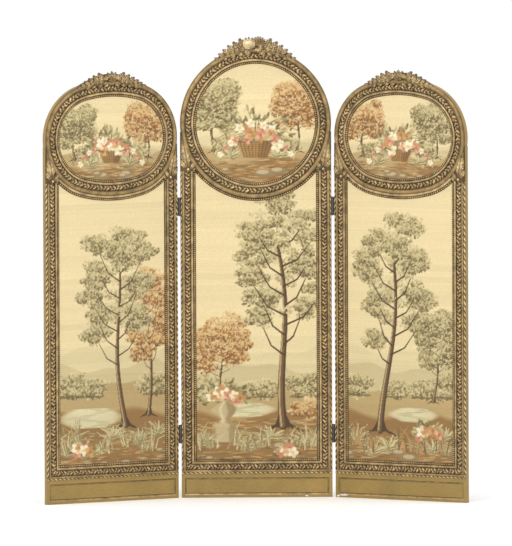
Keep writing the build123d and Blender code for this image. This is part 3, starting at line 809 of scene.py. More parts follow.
class SCREEN_OT_beads(bpy.types.Operator):
    """Turns the pearl beads at both openings in their coves, darkened brown with painted shade"""

    bl_idname = "screen.beads"
    bl_label = "Sight beads"

    def execute(self, context):
        sizes = context.scene.screen_sizes
        gilt = material_of("carved_gilt", carved_gilt, context.scene.screen_colours)
        across = np.array([0.0, 0.0012, 0.003, 0.0055, 0.008, 0.0098, BEAD_WIDTH])
        height = np.array([0.0006, 0.0016, 0.0011, 0.0008, 0.0011, 0.0026, 0.0036])
        # Near black in the cove, lighter on the fillets either side: painted shade and painted highlight.
        shade = np.array([0.35, 0.3, 0.04, 0.0, 0.04, 0.15, 0.4])
        middle = BEAD_WIDTH / 2
        for leaf in LEAVES:
            roundel = leaf.roundel
            carving = Carving()
            place, way, _, _ = roundel.walk(0.009)
            x, z = beside(place, way, across)
            carving.patch(x, z, FACE + height, shade, ground=BEAD_GROUND, closed=True)
            lip = roundel.lower_lip
            band = np.array([RING_OUTER, RING_OUTER + 0.0015, lip - BEAD_WIDTH - 0.0012, lip - BEAD_WIDTH])
            if lip - BEAD_WIDTH > RING_OUTER + 0.002:
                grow = np.concatenate((band, lip - across[::-1][1:]))
                tall = np.concatenate((np.array([0.003, 0.0042, 0.0042, 0.0036]), height[::-1][1:]))
                # The band under the bead is lighter on its raised top: painted highlight.
                value = np.concatenate((np.array([0.3, 0.72, 0.72, 0.5]), shade[::-1][1:]))
            else:
                grow, tall, value = lip - across[::-1], height[::-1], shade[::-1]
            low = way[:, 1] < 0
            bite = np.abs(place[:, 0] + way[:, 0] * lip) < SIGHT_HALF + BEAD_WIDTH
            keep = low & bite
            order = np.argsort(place[keep, 0])
            edge, out = place[keep][order], way[keep][order]
            x, z = beside(edge, out, grow)
            x = np.clip(x, -SIGHT_HALF - BEAD_WIDTH, SIGHT_HALF + BEAD_WIDTH)
            carving.patch(x, z, FACE + tall, value, ground=BEAD_GROUND)
            top = roundel.corner + 0.004
            for side in (-1, 1):
                z = np.linspace(0, 1, 90)[:, None]
                z = SIGHT_BOTTOM - across + z * (top - SIGHT_BOTTOM + across)
                x = side * (SIGHT_HALF + across) + 0 * z
                carving.patch(x, z, FACE + height, shade, ground=BEAD_GROUND)
            x = np.linspace(-1, 1, 50)[:, None] * (SIGHT_HALF + across)
            carving.patch(x, SIGHT_BOTTOM - across + 0 * x, FACE + height, shade, ground=BEAD_GROUND)

            place, way, share, length = roundel.walk(sizes.bead_pitch / 12)
            inner = length * roundel.half_width / (roundel.half_width + CARVED_MIDDLE)
            count = round(inner / sizes.bead_pitch)
            chosen = np.searchsorted(share, (np.arange(count) + 0.5) / count) % len(share)
            spots = place[chosen] + way[chosen] * middle
            lower, out = lower_edge(roundel, sizes.bead_pitch)
            spots = np.concatenate((spots, lower + out * middle))
            corners = [(s * (SIGHT_HALF + middle), SIGHT_BOTTOM - middle) for s in (-1, 1)]
            spots = np.concatenate((spots, corners))
            carving.domes(spots[:, 0], spots[:, 1], FACE + 0.0006, sizes.bead_radius, 0.0039, (0.05, 0.85))
            beads = carving.make(f"{leaf.name}_beads", leaf, gilt)
            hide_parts(f"{leaf.name}_sight_beads")
        return {"FINISHED"}


def rope_strands(run, turn, pitch, hand=1):
    """A rope's half round at places along it: its radius, depth and shade."""
    strand = np.abs(np.sin(pi * run / pitch + 0.75 * turn * hand))
    radius = ROPE_RADIUS * (0.5 + 0.5 * strand)
    return radius, FACE + 0.0003 + 2 * radius * np.sin(turn) ** 0.8 * 0.97, strand**1.3


class SCREEN_OT_ropes(bpy.types.Operator):
    """Twists the ropes on the outer edges and over the base"""

    bl_idname = "screen.ropes"
    bl_label = "Rope edges"

    def execute(self, context):
        sizes = context.scene.screen_sizes
        gilt = material_of("carved_gilt", carved_gilt, context.scene.screen_colours)
        turn = np.linspace(0, pi, 11)[None, :]
        for leaf in LEAVES:
            carving = Carving()
            foot = ROPE_Z + ROPE_RADIUS
            top = leaf.roundel.spandrel_foot
            run = np.arange(0, top - foot, ROPE_STEP)[:, None]
            for side in (-1, 1):
                radius, depth, shade = rope_strands(run, turn, sizes.rope_pitch, side)
                x = side * ROPE_X - radius * np.cos(turn)
                carving.patch(x, foot + run + 0 * turn, depth, shade, ground=FACE)
            run = np.arange(0, 2 * HALF_LEAF - 0.001, ROPE_STEP)[:, None]
            radius, depth, shade = rope_strands(run, turn, 0.8 * sizes.rope_pitch)
            x = run - HALF_LEAF + 0.0005 + 0 * turn
            carving.patch(x, ROPE_Z - radius * np.cos(turn), depth, shade, ground=FACE)
            ropes = carving.make(f"{leaf.name}_rope_edges", leaf, gilt)
            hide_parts(f"{leaf.name}_ropes")
        return {"FINISHED"}


class SCREEN_OT_spandrels(bpy.types.Operator):
    """Fills the corners under the ring with leaf carving"""

    bl_idname = "screen.spandrels"
    bl_label = "Spandrel leaves"

    def execute(self, context):
        gilt = material_of("carved_gilt", carved_gilt, context.scene.screen_colours)
        for leaf in LEAVES:
            roundel = leaf.roundel
            foot, horn = roundel.spandrel_foot, roundel.horn
            carving = Carving()
            rise = np.linspace(0, 1, 40)[:, None]
            z = foot + rise * (horn - foot)
            drop = roundel.spring - z
            ring = roundel.end_centre + np.sqrt((roundel.end_radius + RING_OUTER) ** 2 - drop**2)
            outer = HALF_LEAF - 0.0008
            inner = np.maximum(ring, SIGHT_HALF + BEAD_WIDTH)
            share = np.linspace(0, 1, 9)[None, :]
            x = inner + share * np.maximum(outer - inner, 0.0004)
            ground = 0.0022 + 0.0008 * np.sin(pi * share)
            tall = horn - foot
            for side in (-1, 1):
                # The ground between the leaves takes a dark value: painted shade.
                carving.patch(side * x, z + 0 * share, FACE + ground, 0.18, ground=FACE)
                base = FACE + 0.002
                main = leaf_shape(0.9 * tall, 0.044, 7, 0.0042, 0.001, 41, 11, 0.06)
                put(carving, main, side * 0.268, foot + 0.004, side * 0.13, base, mirror=side)
                for x0, z0, size, angle in (
                    (0.276, 0.010, 0.050, 0.62),
                    (0.262, 0.006, 0.040, -0.62),
                    (0.282, 0.036, 0.042, 0.35),
                    (0.272, 0.030, 0.034, -0.42),
                    (0.288, 0.062, 0.032, 0.16),
                ):
                    shape = leaf_shape(size, 0.5 * size, 4, 0.0034, 0.0008, 21, 9)
                    put(carving, shape, side * x0, foot + z0, side * angle, base + 0.0006, mirror=side)
                carving.domes(side * 0.268, foot + 0.008, base, 0.006, 0.0048, (0.3, 1.0), 12, 4)
            for rows in carving.places:
                rows[:, 0] = np.clip(rows[:, 0], -HALF_LEAF, HALF_LEAF)
            leaves = carving.make(f"{leaf.name}_spandrel_carving", leaf, gilt, 40.0)
            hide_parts(f"{leaf.name}_spandrel_leaves")
        return {"FINISHED"}


def crest_board(carving, roundel, half_span, rise):
    """The crest's backing board, from the ring's edge up to a scalloped skyline."""
    x = np.linspace(-half_span, half_span, 121)[:, None]
    low = roundel.top_at(x, RING_OUTER + 0.0005)
    scallops = 0.62 + 0.06 * np.abs(np.sin(9 * pi * x / half_span))
    high = roundel.top_at(x, EDGE_TO_ROUND) + rise * scallops * (1 - np.abs(x / half_span) ** 1.5) + 0.0004
    share = np.linspace(0, 1, 4)[None, :]
    z = low + (high - low) * share
    # The board's face behind the leaves takes a dark value: painted shade between them.
    carving.patch(x + 0 * share, z, FACE + 0.0035, 0.2, ground=CREST_BACK)
    carving.patch(x + 0 * share, z, CREST_BACK, 0.35, back=True)


def crest_leaves(carving, roundel, half_span, rise, count, skip):
    """Leaves standing up off the arch, larger and more upright towards the middle."""
    for side in (-1, 1):
        for i in range(count):
            share = (i + 0.6) / count
            x = side * half_span * share
            if abs(x) < skip:
                continue
            length = 0.019 + rise * (1 - share**1.3) * 0.98
            z = float(roundel.top_at(x, EDGE_TO_ROUND)) - 0.012
            lean = side * (0.3 + 1.0 * share)
            shape = leaf_shape(length, 0.6 * length + 0.004, 5, 0.0052, 0.002, 31, 11)
            put(carving, shape, x, z, lean, FACE + 0.003, mirror=side)
            lower = leaf_shape(0.6 * length, 0.4 * length, 4, 0.0045, 0.001, 21, 9)
            put(carving, lower, x, z + 0.006, side * (1.35 + 0.3 * share), FACE + 0.0055, mirror=side)


class SCREEN_OT_crests(bpy.types.Operator):
    """Carves the crests: boss and shell on the centre leaf, flowers on the side leaves"""

    bl_idname = "screen.crests"
    bl_label = "Crests"

    def execute(self, context):
        gilt = material_of("carved_gilt", carved_gilt, context.scene.screen_colours)
        for leaf in LEAVES:
            carving = Carving()
            if leaf.name == "centre":
                self.centre(carving, leaf.roundel)
            else:
                self.side(carving, leaf.roundel)
            crest = carving.make(f"{leaf.name}_crest_carving", leaf, gilt, 42.0)
            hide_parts(f"{leaf.name}_crest")
        return {"FINISHED"}

    def centre(self, carving, roundel):
        half_span, rise = 0.150, 0.049
        crest_board(carving, roundel, half_span, rise)
        crest_leaves(carving, roundel, half_span, rise, 7, 0.03)
        top = roundel.spring + roundel.rise + EDGE_TO_ROUND
        boss_x, boss_z = -0.025, top + 0.0155
        for x, z, radius, petals in (
            (-0.066, 0.006, 0.011, 6),
            (0.074, 0.004, 0.012, 6),
            (-0.101, -0.012, 0.009, 5),
            (0.108, -0.014, 0.009, 5),
            (-0.128, -0.028, 0.007, 5),
            (0.134, -0.032, 0.007, 5),
        ):
            flower(carving, x, top + z, radius, petals, FACE + 0.0075, 0.0055)
        for i in range(9):
            turn = radians(-52 + 128 * i / 8)
            length = 0.041 - 0.008 * abs(i / 8 - 0.42)
            rib = rib_shape(length, 0.0017, 0.0046, 0.0075)
            put(carving, rib, 0.013, top + 0.0055, turn, FACE + 0.006)
        for i in range(5):
            turn = radians(70 + 36 * i)
            shape = leaf_shape(0.026, 0.014, 4, 0.004, 0.001, 21, 9)
            put(carving, shape, 0.010, top + 0.002, turn, FACE + 0.0082)
        for i in range(14):
            turn = 2 * pi * i / 14
            x, z = boss_x + 0.019 * sin(turn), boss_z + 0.0145 * cos(turn)
            shape = leaf_shape(0.014, 0.011, 3, 0.004, 0.0015, 15, 7)
            put(carving, shape, x, z, atan2(sin(turn) * 1.2, cos(turn)), FACE + 0.006)
        turn = full_turn(48)
        out = np.linspace(-1, 1, 9)[None, :]
        x = boss_x + (0.0215 + 0.0028 * out) * np.cos(turn)
        z = boss_z + (0.0172 + 0.0028 * out) * np.sin(turn)
        depth, shade = FACE + 0.0105 + 0.0028 * dome(0.97 * out), 0.35 + 0.6 * dome(out)
        carving.patch(x, z, depth, shade, ground=FACE + 0.005, closed=True)
        self.boss(carving, boss_x, boss_z)
        for side in (-1, 1):
            for i in range(4):
                x = side * (0.012 + 0.032 * i)
                z = float(roundel.top_at(x, 0.046)) + 0.002
                shape = leaf_shape(0.034 - 0.004 * i, 0.016, 4, 0.0042, 0.0008, 21, 9)
                put(carving, shape, x, z, side * (2.0 + 0.06 * i), FACE + 0.0072, mirror=side)
            for x, radius in ((0.034, 0.009), (0.088, 0.008)):
                z = float(roundel.top_at(x, 0.05))
                flower(carving, side * x, z, radius, 5, FACE + 0.009, 0.005)

    def boss(self, carving, x, z):
        """A smooth oval cabochon."""
        turn = full_turn(40)
        out = np.sin(np.linspace(pi / 2, 0.06, 10))[None, :]
        depth = FACE + 0.009 + 0.0085 * np.sqrt(1 - (0.999 * out) ** 2)
        px, pz = x + 0.0195 * out * np.cos(turn), z + 0.015 * out * np.sin(turn)
        # The whole cabochon and its tip take the top of the ramp: painted highlight.
        carving.patch(px, pz, depth, 0.97, closed=True)
        carving.domes(x, z, FACE + 0.0165, 0.0022, 0.001, (0.97, 0.97), 12, 2)

    def side(self, carving, roundel):
        half_span, rise = 0.145, 0.040
        crest_board(carving, roundel, half_span, rise)
        crest_leaves(carving, roundel, half_span, rise, 7, 0.018)
        top = roundel.spring + roundel.rise + EDGE_TO_ROUND
        for i in range(7):
            turn = radians(-66 + 22 * i)
            length = 0.036 - 0.002 * abs(i - 3)
            shape = leaf_shape(length, 0.016, 5, 0.005, 0.002, 25, 9)
            put(carving, shape, 0.006 * (i - 3), top + 0.0015, turn, FACE + 0.006)
        flower(carving, 0.0, top + 0.020, 0.0135, 6, FACE + 0.0075, 0.0055)
        for x, z, radius in (
            (-0.026, 0.012, 0.0095),
            (0.027, 0.012, 0.0095),
            (-0.050, 0.006, 0.009),
            (0.052, 0.005, 0.009),
            (-0.078, -0.004, 0.0085),
            (0.080, -0.005, 0.0085),
            (-0.106, -0.018, 0.007),
            (0.108, -0.019, 0.007),
        ):
            flower(carving, x, top + z, radius, 5, FACE + 0.0075, 0.005)
        for i in range(7):
            turn = radians(-60 + 20 * i)
            rib = rib_shape(0.018, 0.001, 0.0032, 0.0055)
            put(carving, rib, 0.0, top - 0.008, turn, FACE + 0.0068)
        for side in (-1, 1):
            for i in range(4):
                x = side * (0.010 + 0.030 * i)
                z = float(roundel.top_at(x, 0.048)) + 0.002
                shape = leaf_shape(0.030 - 0.003 * i, 0.014, 4, 0.004, 0.0008, 21, 9)
                put(carving, shape, x, z, side * (1.95 + 0.05 * i), FACE + 0.0068, mirror=side)


class Cloth:
    """A stretched cloth cut to an outline, as a grid whose edge cells are drawn in to it."""

    def __init__(self, half_width, low, high, cell, outside):
        wide, tall = round(2 * half_width / cell), round((high - low) / cell)
        columns, rows = np.linspace(-half_width, half_width, wide + 1), np.linspace(low, high, tall + 1)
        self.x, self.z = np.meshgrid(columns, rows)
        self.cell, self.outside = cell, outside
        self.colour = np.ones((*self.x.shape, 3))
        self.low, self.half_width = low, half_width

    def span(self, middle, reach, start, count):
        """The grid's lines within reach of a place, as a slice."""
        ends = np.round((np.array((middle - reach, middle + reach)) - start) / self.cell).astype(int)
        return slice(*np.clip(ends + (0, 1), 0, count))

    def wash(self, cover, colour):
        """A colour laid over the whole cloth, as thick as its cover at each place."""
        self.colour += cover[..., None] * (np.array(colour) / 255 - self.colour)

    def dab(self, x, z, across, up, turn, colour, strength=0.9):
        """One stitch-edged stroke of colour, oval and turned clockwise."""
        reach = max(across, up) + self.cell
        columns = self.span(x, reach, -self.half_width, self.x.shape[1])
        rows = self.span(z, reach, self.low, self.x.shape[0])
        dx, dz = self.x[rows, columns] - x, self.z[rows, columns] - z
        if not dx.size:
            return
        c, s = cos(turn), sin(turn)
        far = np.hypot((dx * c - dz * s) / across, (dx * s + dz * c) / up)
        cover = (strength * np.clip((1.15 - far) / 0.3, 0, 1))[..., None]
        window = self.colour[rows, columns]
        window += cover * (np.array(colour) / 255 - window)

    def stroke(self, places, first, last, colour, strength=0.9):
        """A tapering line through places."""
        places = np.array(places, float)
        lengths = np.append(0, np.cumsum(np.hypot(*np.diff(places, axis=0).T)))
        count = max(2, int(lengths[-1] / (0.45 * max(min(first, last), 0.5 * self.cell))))
        for share in np.linspace(0, 1, count):
            x, z = (np.interp(share * lengths[-1], lengths, places[:, i]) for i in (0, 1))
            width = first + (last - first) * share
            self.dab(x, z, width, width, 0.0, colour, strength)

    def make(self, name, leaf, material, depth, strainer):
        """The mesh, its dyes and its measure; the strainer is not used."""
        x, z = self.x.copy(), self.z.copy()
        inside = self.outside(x, z) < 0
        for _ in range(3):
            far = self.outside(x, z)
            tiny = 1e-5
            slope_x = (self.outside(x + tiny, z) - far) / tiny
            slope_z = (self.outside(x, z + tiny) - far) / tiny
            size = np.maximum(slope_x**2 + slope_z**2, 0.3)
            out = np.where(inside, 0, np.maximum(far, 0)) / size
            x, z = x - out * slope_x, z - out * slope_z
        near = self.outside(self.x, self.z) < 0.75 * self.cell
        index = np.arange(x.size).reshape(x.shape)
        corners = [a.ravel() for a in (index[:-1, :-1], index[:-1, 1:], index[1:, 1:], index[1:, :-1])]
        quads = np.stack(corners, -1)
        flags = inside.ravel()[quads]
        quads = quads[(flags.sum(1) >= 2) & near.ravel()[quads].all(1)]
        used, quads = np.unique(quads, return_inverse=True)
        quads = quads.reshape(-1, 4)
        x, z = x.ravel()[used], z.ravel()[used]
        ripple = 0.00016 * (np.sin(23 * x + 5 * z) + np.sin(9 * z - 31 * x))
        if depth < 0:
            quads = quads[:, ::-1]
        mesh = bpy.data.meshes.new(name)
        mesh.from_pydata(leaf.place(x, z, depth + ripple).tolist(), [], quads.tolist())
        dye = mesh.attributes.new("dye", "FLOAT_COLOR", "POINT")
        linear = np.clip(self.colour, 0, 1).reshape(-1, 3)[used] ** 2.2 * WOOL_LIGHT
        opaque = np.column_stack((linear, np.ones(len(used))))
        dye.data.foreach_set("color", opaque.astype(np.float32).ravel())
        measure = mesh.uv_layers.new(name="measure")
        places = np.stack((x, z), -1)[quads.ravel()]
        measure.data.foreach_set("uv", places.astype(np.float32).ravel())
        mesh.update()
        mesh.shade_smooth()
        piece = add_piece(name, mesh, material, leaf.body)
        return piece


STRAW = (243, 222, 170)
SAGE = ((188, 172, 122), (168, 154, 108), (144, 128, 86), (212, 195, 144), (114, 98, 64))
AUTUMN = ((192, 142, 86), (208, 166, 106), (166, 114, 64), (222, 190, 134), (136, 94, 56))
BARK = (118, 92, 62)
BARK_DARK = (84, 64, 44)
ROSE = ((206, 140, 106), (226, 178, 142), (184, 108, 78))
CREAM = ((250, 240, 208), (240, 222, 172), (224, 196, 138))


def woven_ground(cloth, random, foot, horizon):
    """Pale straw sky over soft hills and banks of earth."""
    height = cloth.z - cloth.low
    share = np.clip(height / (cloth.z.max() - cloth.low), 0, 1)[..., None]
    cloth.colour[:] = (np.array(STRAW) / 255) * (1.0 - 0.05 * (1 - share) - 0.03 * share**3)
    wave = random.random((3, 4))
    hills = (((216, 200, 152), 1.0), ((200, 182, 134), 0.72), ((184, 156, 104), 0.42))
    for level, (tone, rise) in enumerate(hills):
        long, short = 2 * pi * wave[level, :2]
        line = horizon * rise + foot + 0.016 * np.sin(cloth.x * 13 + long)
        line = line + 0.009 * np.sin(cloth.x * 31 + short)
        cloth.wash(np.clip((line - height) / 0.006, 0, 1) * (0.5 + 0.16 * level), tone)
    bank = np.clip((foot - height + 0.02 * np.sin(cloth.x * 17)) / 0.02, 0, 1)
    cloth.wash(0.85 * bank, (146, 108, 62))


def streaks(cloth, random):
    """Faint bands of each dye lot, finer streaks along the rows and a speckle over the cells."""
    rows = cloth.x.shape[0]
    lots = np.repeat(random.normal(0, 0.011, rows // 9 + 1), 9)[:rows]
    fine = random.normal(0, 0.006, rows)
    cloth.colour *= 1 + (lots + fine)[:, None, None]
    cloth.colour *= 1 + random.normal(0, 0.010, cloth.x.shape)[..., None]


def foliage(cloth, random, x, z, wide, tall, count, tones, size):
    """A mass of small leaves, lighter above and darker beneath."""
    for _ in range(count):
        angle, out = 2 * pi * random.random(), random.random() ** 0.6
        dx, dz = wide * out * cos(angle), tall * out * sin(angle)
        light = 0.5 + 0.5 * dz / tall + 0.25 * random.normal()
        tone = tones[int(np.clip((1 - light) * 5, 0, 4))] if light < 0.75 else tones[3]
        cloth.dab(x + dx, z + dz, size, 0.55 * size, pi * random.random(), tone, 0.8)


def faded(tones, kept):
    """Tones that keep only a share of their own colour against the sky."""
    return [tuple(kept * t + (1 - kept) * c for t, c in zip(tone, STRAW)) for tone in tones]


def crown(cloth, random, x, z, wide, tall, clusters, tones):
    """A tree's head: leafy masses one over another, the farther ones paler, the near ones deeper beneath."""
    pale = faded(tones, 0.45)
    for layer, (share, palette) in enumerate(((1.0, pale), (0.9, tones), (0.75, tones))):
        for _ in range(clusters):
            angle, out = 2 * pi * random.random(), random.random() ** 0.5
            dx, dz = share * wide * out * cos(angle), share * tall * out * sin(angle)
            size = 0.024 + 0.016 * random.random()
            leaves = 58 if layer else 40
            foliage(cloth, random, x + dx, z + dz, size, 0.55 * size, leaves, palette, 0.0056)


def tree(cloth, random, x, foot, height, lean, spread, tones, girth=0.012):
    """A tree with a winding trunk, roots, rising boughs and a broken, leafy head."""
    steps = np.linspace(0, 1, 12)
    sway = 0.16 * spread * np.sin(4.4 * steps + 1.3 + 30 * x)
    line = [(x + lean * s + w - sway[0], foot + 0.72 * height * s) for s, w in zip(steps, sway)]
    boughs = []
    for i in range(12):
        share = 0.40 + 0.60 * i / 11
        start = [np.interp(share, steps, [p[k] for p in line]) for k in (0, 1)]
        side = 1 if i % 2 else -1
        reach = spread * (0.95 - 0.35 * abs(share - 0.6)) * (0.5 + 0.55 * random.random())
        rise = (0.12 + 0.02 * share) * height * (0.7 + 0.5 * random.random())
        middle = (start[0] + 0.5 * side * reach, start[1] + 0.25 * rise)
        boughs.append((start, middle, (start[0] + side * reach, start[1] + rise)))
    behind = (x + 0.75 * lean, foot + 0.68 * height)
    crown(cloth, random, *behind, 0.80 * spread, 0.25 * height, 12, faded(tones, 0.7))
    for side in (-1, 1):
        for reach in (0.9, 2.2, 3.4):
            flare = (line[1][0], line[1][1] - 0.4 * girth)
            bend = (line[0][0] + side * 0.5 * girth * reach, foot + 0.3 * girth)
            root = (line[0][0] + side * reach * 1.5 * girth, foot - 0.4 * girth * reach)
            cloth.stroke([flare, bend, root], 0.5 * girth, 0.15 * girth, BARK_DARK)
    cloth.stroke(line, girth, 0.35 * girth, BARK_DARK)
    cloth.stroke([(a - 0.25 * girth, b) for a, b in line], 0.66 * girth, 0.2 * girth, BARK)
    cloth.stroke([(a - 0.5 * girth, b) for a, b in line], 0.22 * girth, 0.08 * girth, (188, 160, 112), 0.8)
    for start, middle, tip in boughs:
        cloth.stroke([start, middle, tip], 0.24 * girth, 0.08 * girth, BARK_DARK)
        crown(cloth, random, tip[0], tip[1] + 0.012, 0.44 * spread, 0.036, 5, tones)
    crown(cloth, random, line[-1][0], line[-1][1] + 0.12 * height, 0.55 * spread, 0.12 * height, 9, tones)


def shrub(cloth, random, x, z, size, tones):
    """A rounded bush, leafy to the ground."""
    crown(cloth, random, x, z + 0.45 * size, 0.75 * size, 0.42 * size, int(60 * size) + 4, tones)
    for i in range(4):
        cloth.dab(x + (i - 1.5) * 0.3 * size, z + 0.06 * size, 0.2 * size, 0.05 * size, 0.0, tones[4], 0.6)


def broad_plant(cloth, random, x, z, size, tones):
    """A rosette of long leaves on the ground."""
    for i in range(11):
        turn = -1.35 + 2.7 * i / 10 + 0.12 * random.normal()
        length = size * (0.7 + 0.4 * random.random())
        middle = (x + 0.55 * length * sin(turn), z + 0.6 * length * cos(turn))
        tip = (x + 1.0 * length * sin(turn), z + 0.78 * length * cos(turn))
        cloth.stroke([(x, z), middle, tip], 0.0075, 0.0018, tones[i % 3 + 1])
        cloth.stroke([(x, z), middle, tip], 0.0018, 0.0011, tones[3])


def blades(cloth, random, x, z, height, count, tones):
    """A tuft of grass or reed."""
    foot = z + 0.035 * random.random()
    for i in range(count):
        turn = 0.45 * random.normal()
        length = height * (0.45 + 0.6 * random.random())
        start, z = x + 0.022 * random.normal(), foot + 0.006 * random.normal()
        middle = (start + 0.3 * length * sin(turn), z + 0.6 * length)
        tip = (start + length * sin(turn) * 1.4, z + length * cos(turn))
        cloth.stroke([(start, z), middle, tip], 0.0026, 0.0012, tones[i % 4])


def bloom(cloth, x, z, radius, tones, turn=0.0):
    """A five-petalled flower, shaded towards its eye."""
    for i in range(5):
        angle = turn + 2 * pi * i / 5
        px, pz = x + 0.62 * radius * sin(angle), z + 0.62 * radius * cos(angle)
        cloth.dab(px, pz, 0.40 * radius, 0.52 * radius, angle, tones[i % 2])
    cloth.dab(x, z, 0.30 * radius, 0.30 * radius, 0.0, tones[2])


def bouquet(cloth, random, x, z, size, count):
    """Blossoms and leaves springing from one place."""
    for i in range(3 * count):
        turn = random.uniform(-1.9, 1.9)
        length = size * (0.55 + 0.6 * random.random())
        middle = (x + 0.4 * length * sin(turn), z + 0.5 * length)
        tip = (x + length * sin(turn), z + 0.8 * length * cos(turn) + 0.1 * size)
        cloth.stroke([(x, z), middle, tip], 0.0018, 0.0012, SAGE[2])
        cloth.dab(*tip, 0.0052, 0.0135, turn, SAGE[i % 5])
        cloth.dab(tip[0] - 0.008, tip[1] - 0.006, 0.0045, 0.011, turn + 0.8, SAGE[(i + 2) % 5])
    for i in range(count):
        turn = -1.5 + 3.0 * i / max(1, count - 1) + 0.2 * random.normal()
        length = size * (0.25 + 0.5 * random.random())
        tones = (ROSE, CREAM, AUTUMN[:3])[i % 3]
        radius = 0.016 + 0.007 * random.random()
        bloom(cloth, x + length * sin(turn), z + length * cos(turn) * 0.85, radius, tones, turn)


def earth(cloth, random, foot):
    """Tufts, stones and strokes of shade over the near ground."""
    for _ in range(260):
        x, z = random.uniform(-cloth.half_width, cloth.half_width), cloth.low + foot * random.random()
        tone = (SAGE + AUTUMN)[random.integers(10)]
        cloth.dab(x, z, 0.016 + 0.012 * random.random(), 0.0022, 0.1 * random.normal(), tone, 0.6)
    for _ in range(7):
        x, z = random.uniform(-cloth.half_width, cloth.half_width), cloth.low + 0.6 * foot * random.random()
        size = 0.012 + 0.014 * random.random()
        cloth.dab(x, z, 1.5 * size, 0.7 * size, 0.0, (150, 128, 92), 0.9)
        cloth.dab(x - 0.2 * size, z + 0.25 * size, size, 0.35 * size, 0.0, (206, 186, 142), 0.8)


def urn(cloth, x, z, size):
    """A footed garden vase on a plinth, in stone colours."""
    stone, shade, light = (198, 178, 132), (146, 122, 82), (226, 208, 162)
    for low, high, half in ((0.0, 0.5, 0.34), (0.5, 0.58, 0.40)):
        for row in np.arange(low, high, 0.02):
            cloth.dab(x, z + row * size, half * size, 0.015 * size + 0.002, 0.0, stone)
            edge = x + 0.6 * half * size
            cloth.dab(edge, z + row * size, 0.35 * half * size, 0.012 * size + 0.002, 0.0, shade, 0.6)
    for row in np.linspace(0, 1, 40):
        half = 0.10 + 0.26 * sin(pi * min(1, row * 1.15) ** 1.6)
        half += (0.16 if row > 0.9 else 0) + (0.1 if row < 0.08 else 0)
        level, thick = z + (0.6 + 0.75 * row) * size, 0.014 * size + 0.002
        cloth.dab(x, level, half * size, thick, 0.0, stone)
        cloth.dab(x + 0.5 * half * size, level, 0.45 * half * size, thick, 0.0, shade, 0.6)
        cloth.dab(x - 0.45 * half * size, level, 0.2 * half * size, thick, 0.0, light, 0.7)


def pool(cloth, x, z, wide, tall):
    """Still water with streaks of bank and sky in it."""
    for row in np.linspace(0, 1, 14):
        half = wide * (0.55 + 0.45 * sin(pi * row))
        cloth.dab(x, z + tall * row, half, 0.6 * tall / 10, 0.0, (226, 216, 172), 0.85)
        glint = x + 0.4 * wide * sin(9 * row)
        cloth.dab(glint, z + tall * row, 0.35 * half, 0.0014, 0.0, (170, 162, 116), 0.7)


def planting(cloth, random, plant, spots):
    """Green plants of one kind: for each its x, its height over the cloth's foot and its size."""
    for x, z, size in spots:
        plant(cloth, random, x, cloth.low + z, size, SAGE)


def tufts(cloth, random, places, z, height, count, tones):
    for x in places:
        blades(cloth, random, x, cloth.low + z, height, count, tones)


def centre_picture(cloth, random):
    """A spreading tree on the right, a flowered urn on the left, and a pool with far hills between."""
    low = cloth.low
    woven_ground(cloth, random, 0.19, 0.25)
    bushes = ((-0.20, 0.245, 0.10), (-0.12, 0.245, 0.07), (0.02, 0.245, 0.08), (0.20, 0.245, 0.11))
    planting(cloth, random, shrub, bushes)
    tree(cloth, random, -0.135, low + 0.235, 0.34, -0.01, 0.075, AUTUMN, 0.0055)
    pool(cloth, -0.05, low + 0.175, 0.13, 0.05)
    earth(cloth, random, 0.165)
    shrub(cloth, random, 0.195, low + 0.17, 0.085, AUTUMN)
    tree(cloth, random, 0.105, low + 0.135, 0.99, -0.055, 0.155, SAGE, 0.0155)
    urn(cloth, -0.125, low + 0.075, 0.125)
    mouth = low + 0.075 + 1.35 * 0.125
    bouquet(cloth, random, -0.125, mouth - 0.004, 0.085, 13)
    broad = ((-0.215, 0.06, 0.085), (-0.03, 0.05, 0.08), (0.06, 0.085, 0.07), (0.20, 0.06, 0.095))
    planting(cloth, random, broad_plant, broad)
    tufts(cloth, random, (-0.19, -0.07, 0.03, 0.15, 0.22), 0.03, 0.10, 14, SAGE)
    bouquet(cloth, random, 0.12, low + 0.03, 0.045, 5)


def left_picture(cloth, random):
    """Two slim trees on the right bank of a pool, with reeds and flowers on the left."""
    low = cloth.low
    woven_ground(cloth, random, 0.21, 0.25)
    planting(cloth, random, shrub, ((-0.20, 0.265, 0.12), (-0.09, 0.265, 0.08), (0.20, 0.265, 0.10)))
    pool(cloth, -0.10, low + 0.15, 0.15, 0.07)
    earth(cloth, random, 0.13)
    tree(cloth, random, 0.165, low + 0.19, 0.62, 0.0, 0.075, AUTUMN, 0.008)
    tree(cloth, random, 0.060, low + 0.15, 0.84, -0.04, 0.125, SAGE, 0.0115)
    broad = ((0.0, 0.10, 0.07), (0.12, 0.08, 0.08), (0.21, 0.11, 0.08))
    planting(cloth, random, broad_plant, (*broad, (-0.21, 0.04, 0.09), (-0.08, 0.04, 0.06)))
    tufts(cloth, random, (-0.20, -0.15, -0.04, 0.06, 0.17), 0.045, 0.105, 14, SAGE)
    bouquet(cloth, random, -0.14, low + 0.05, 0.055, 6)


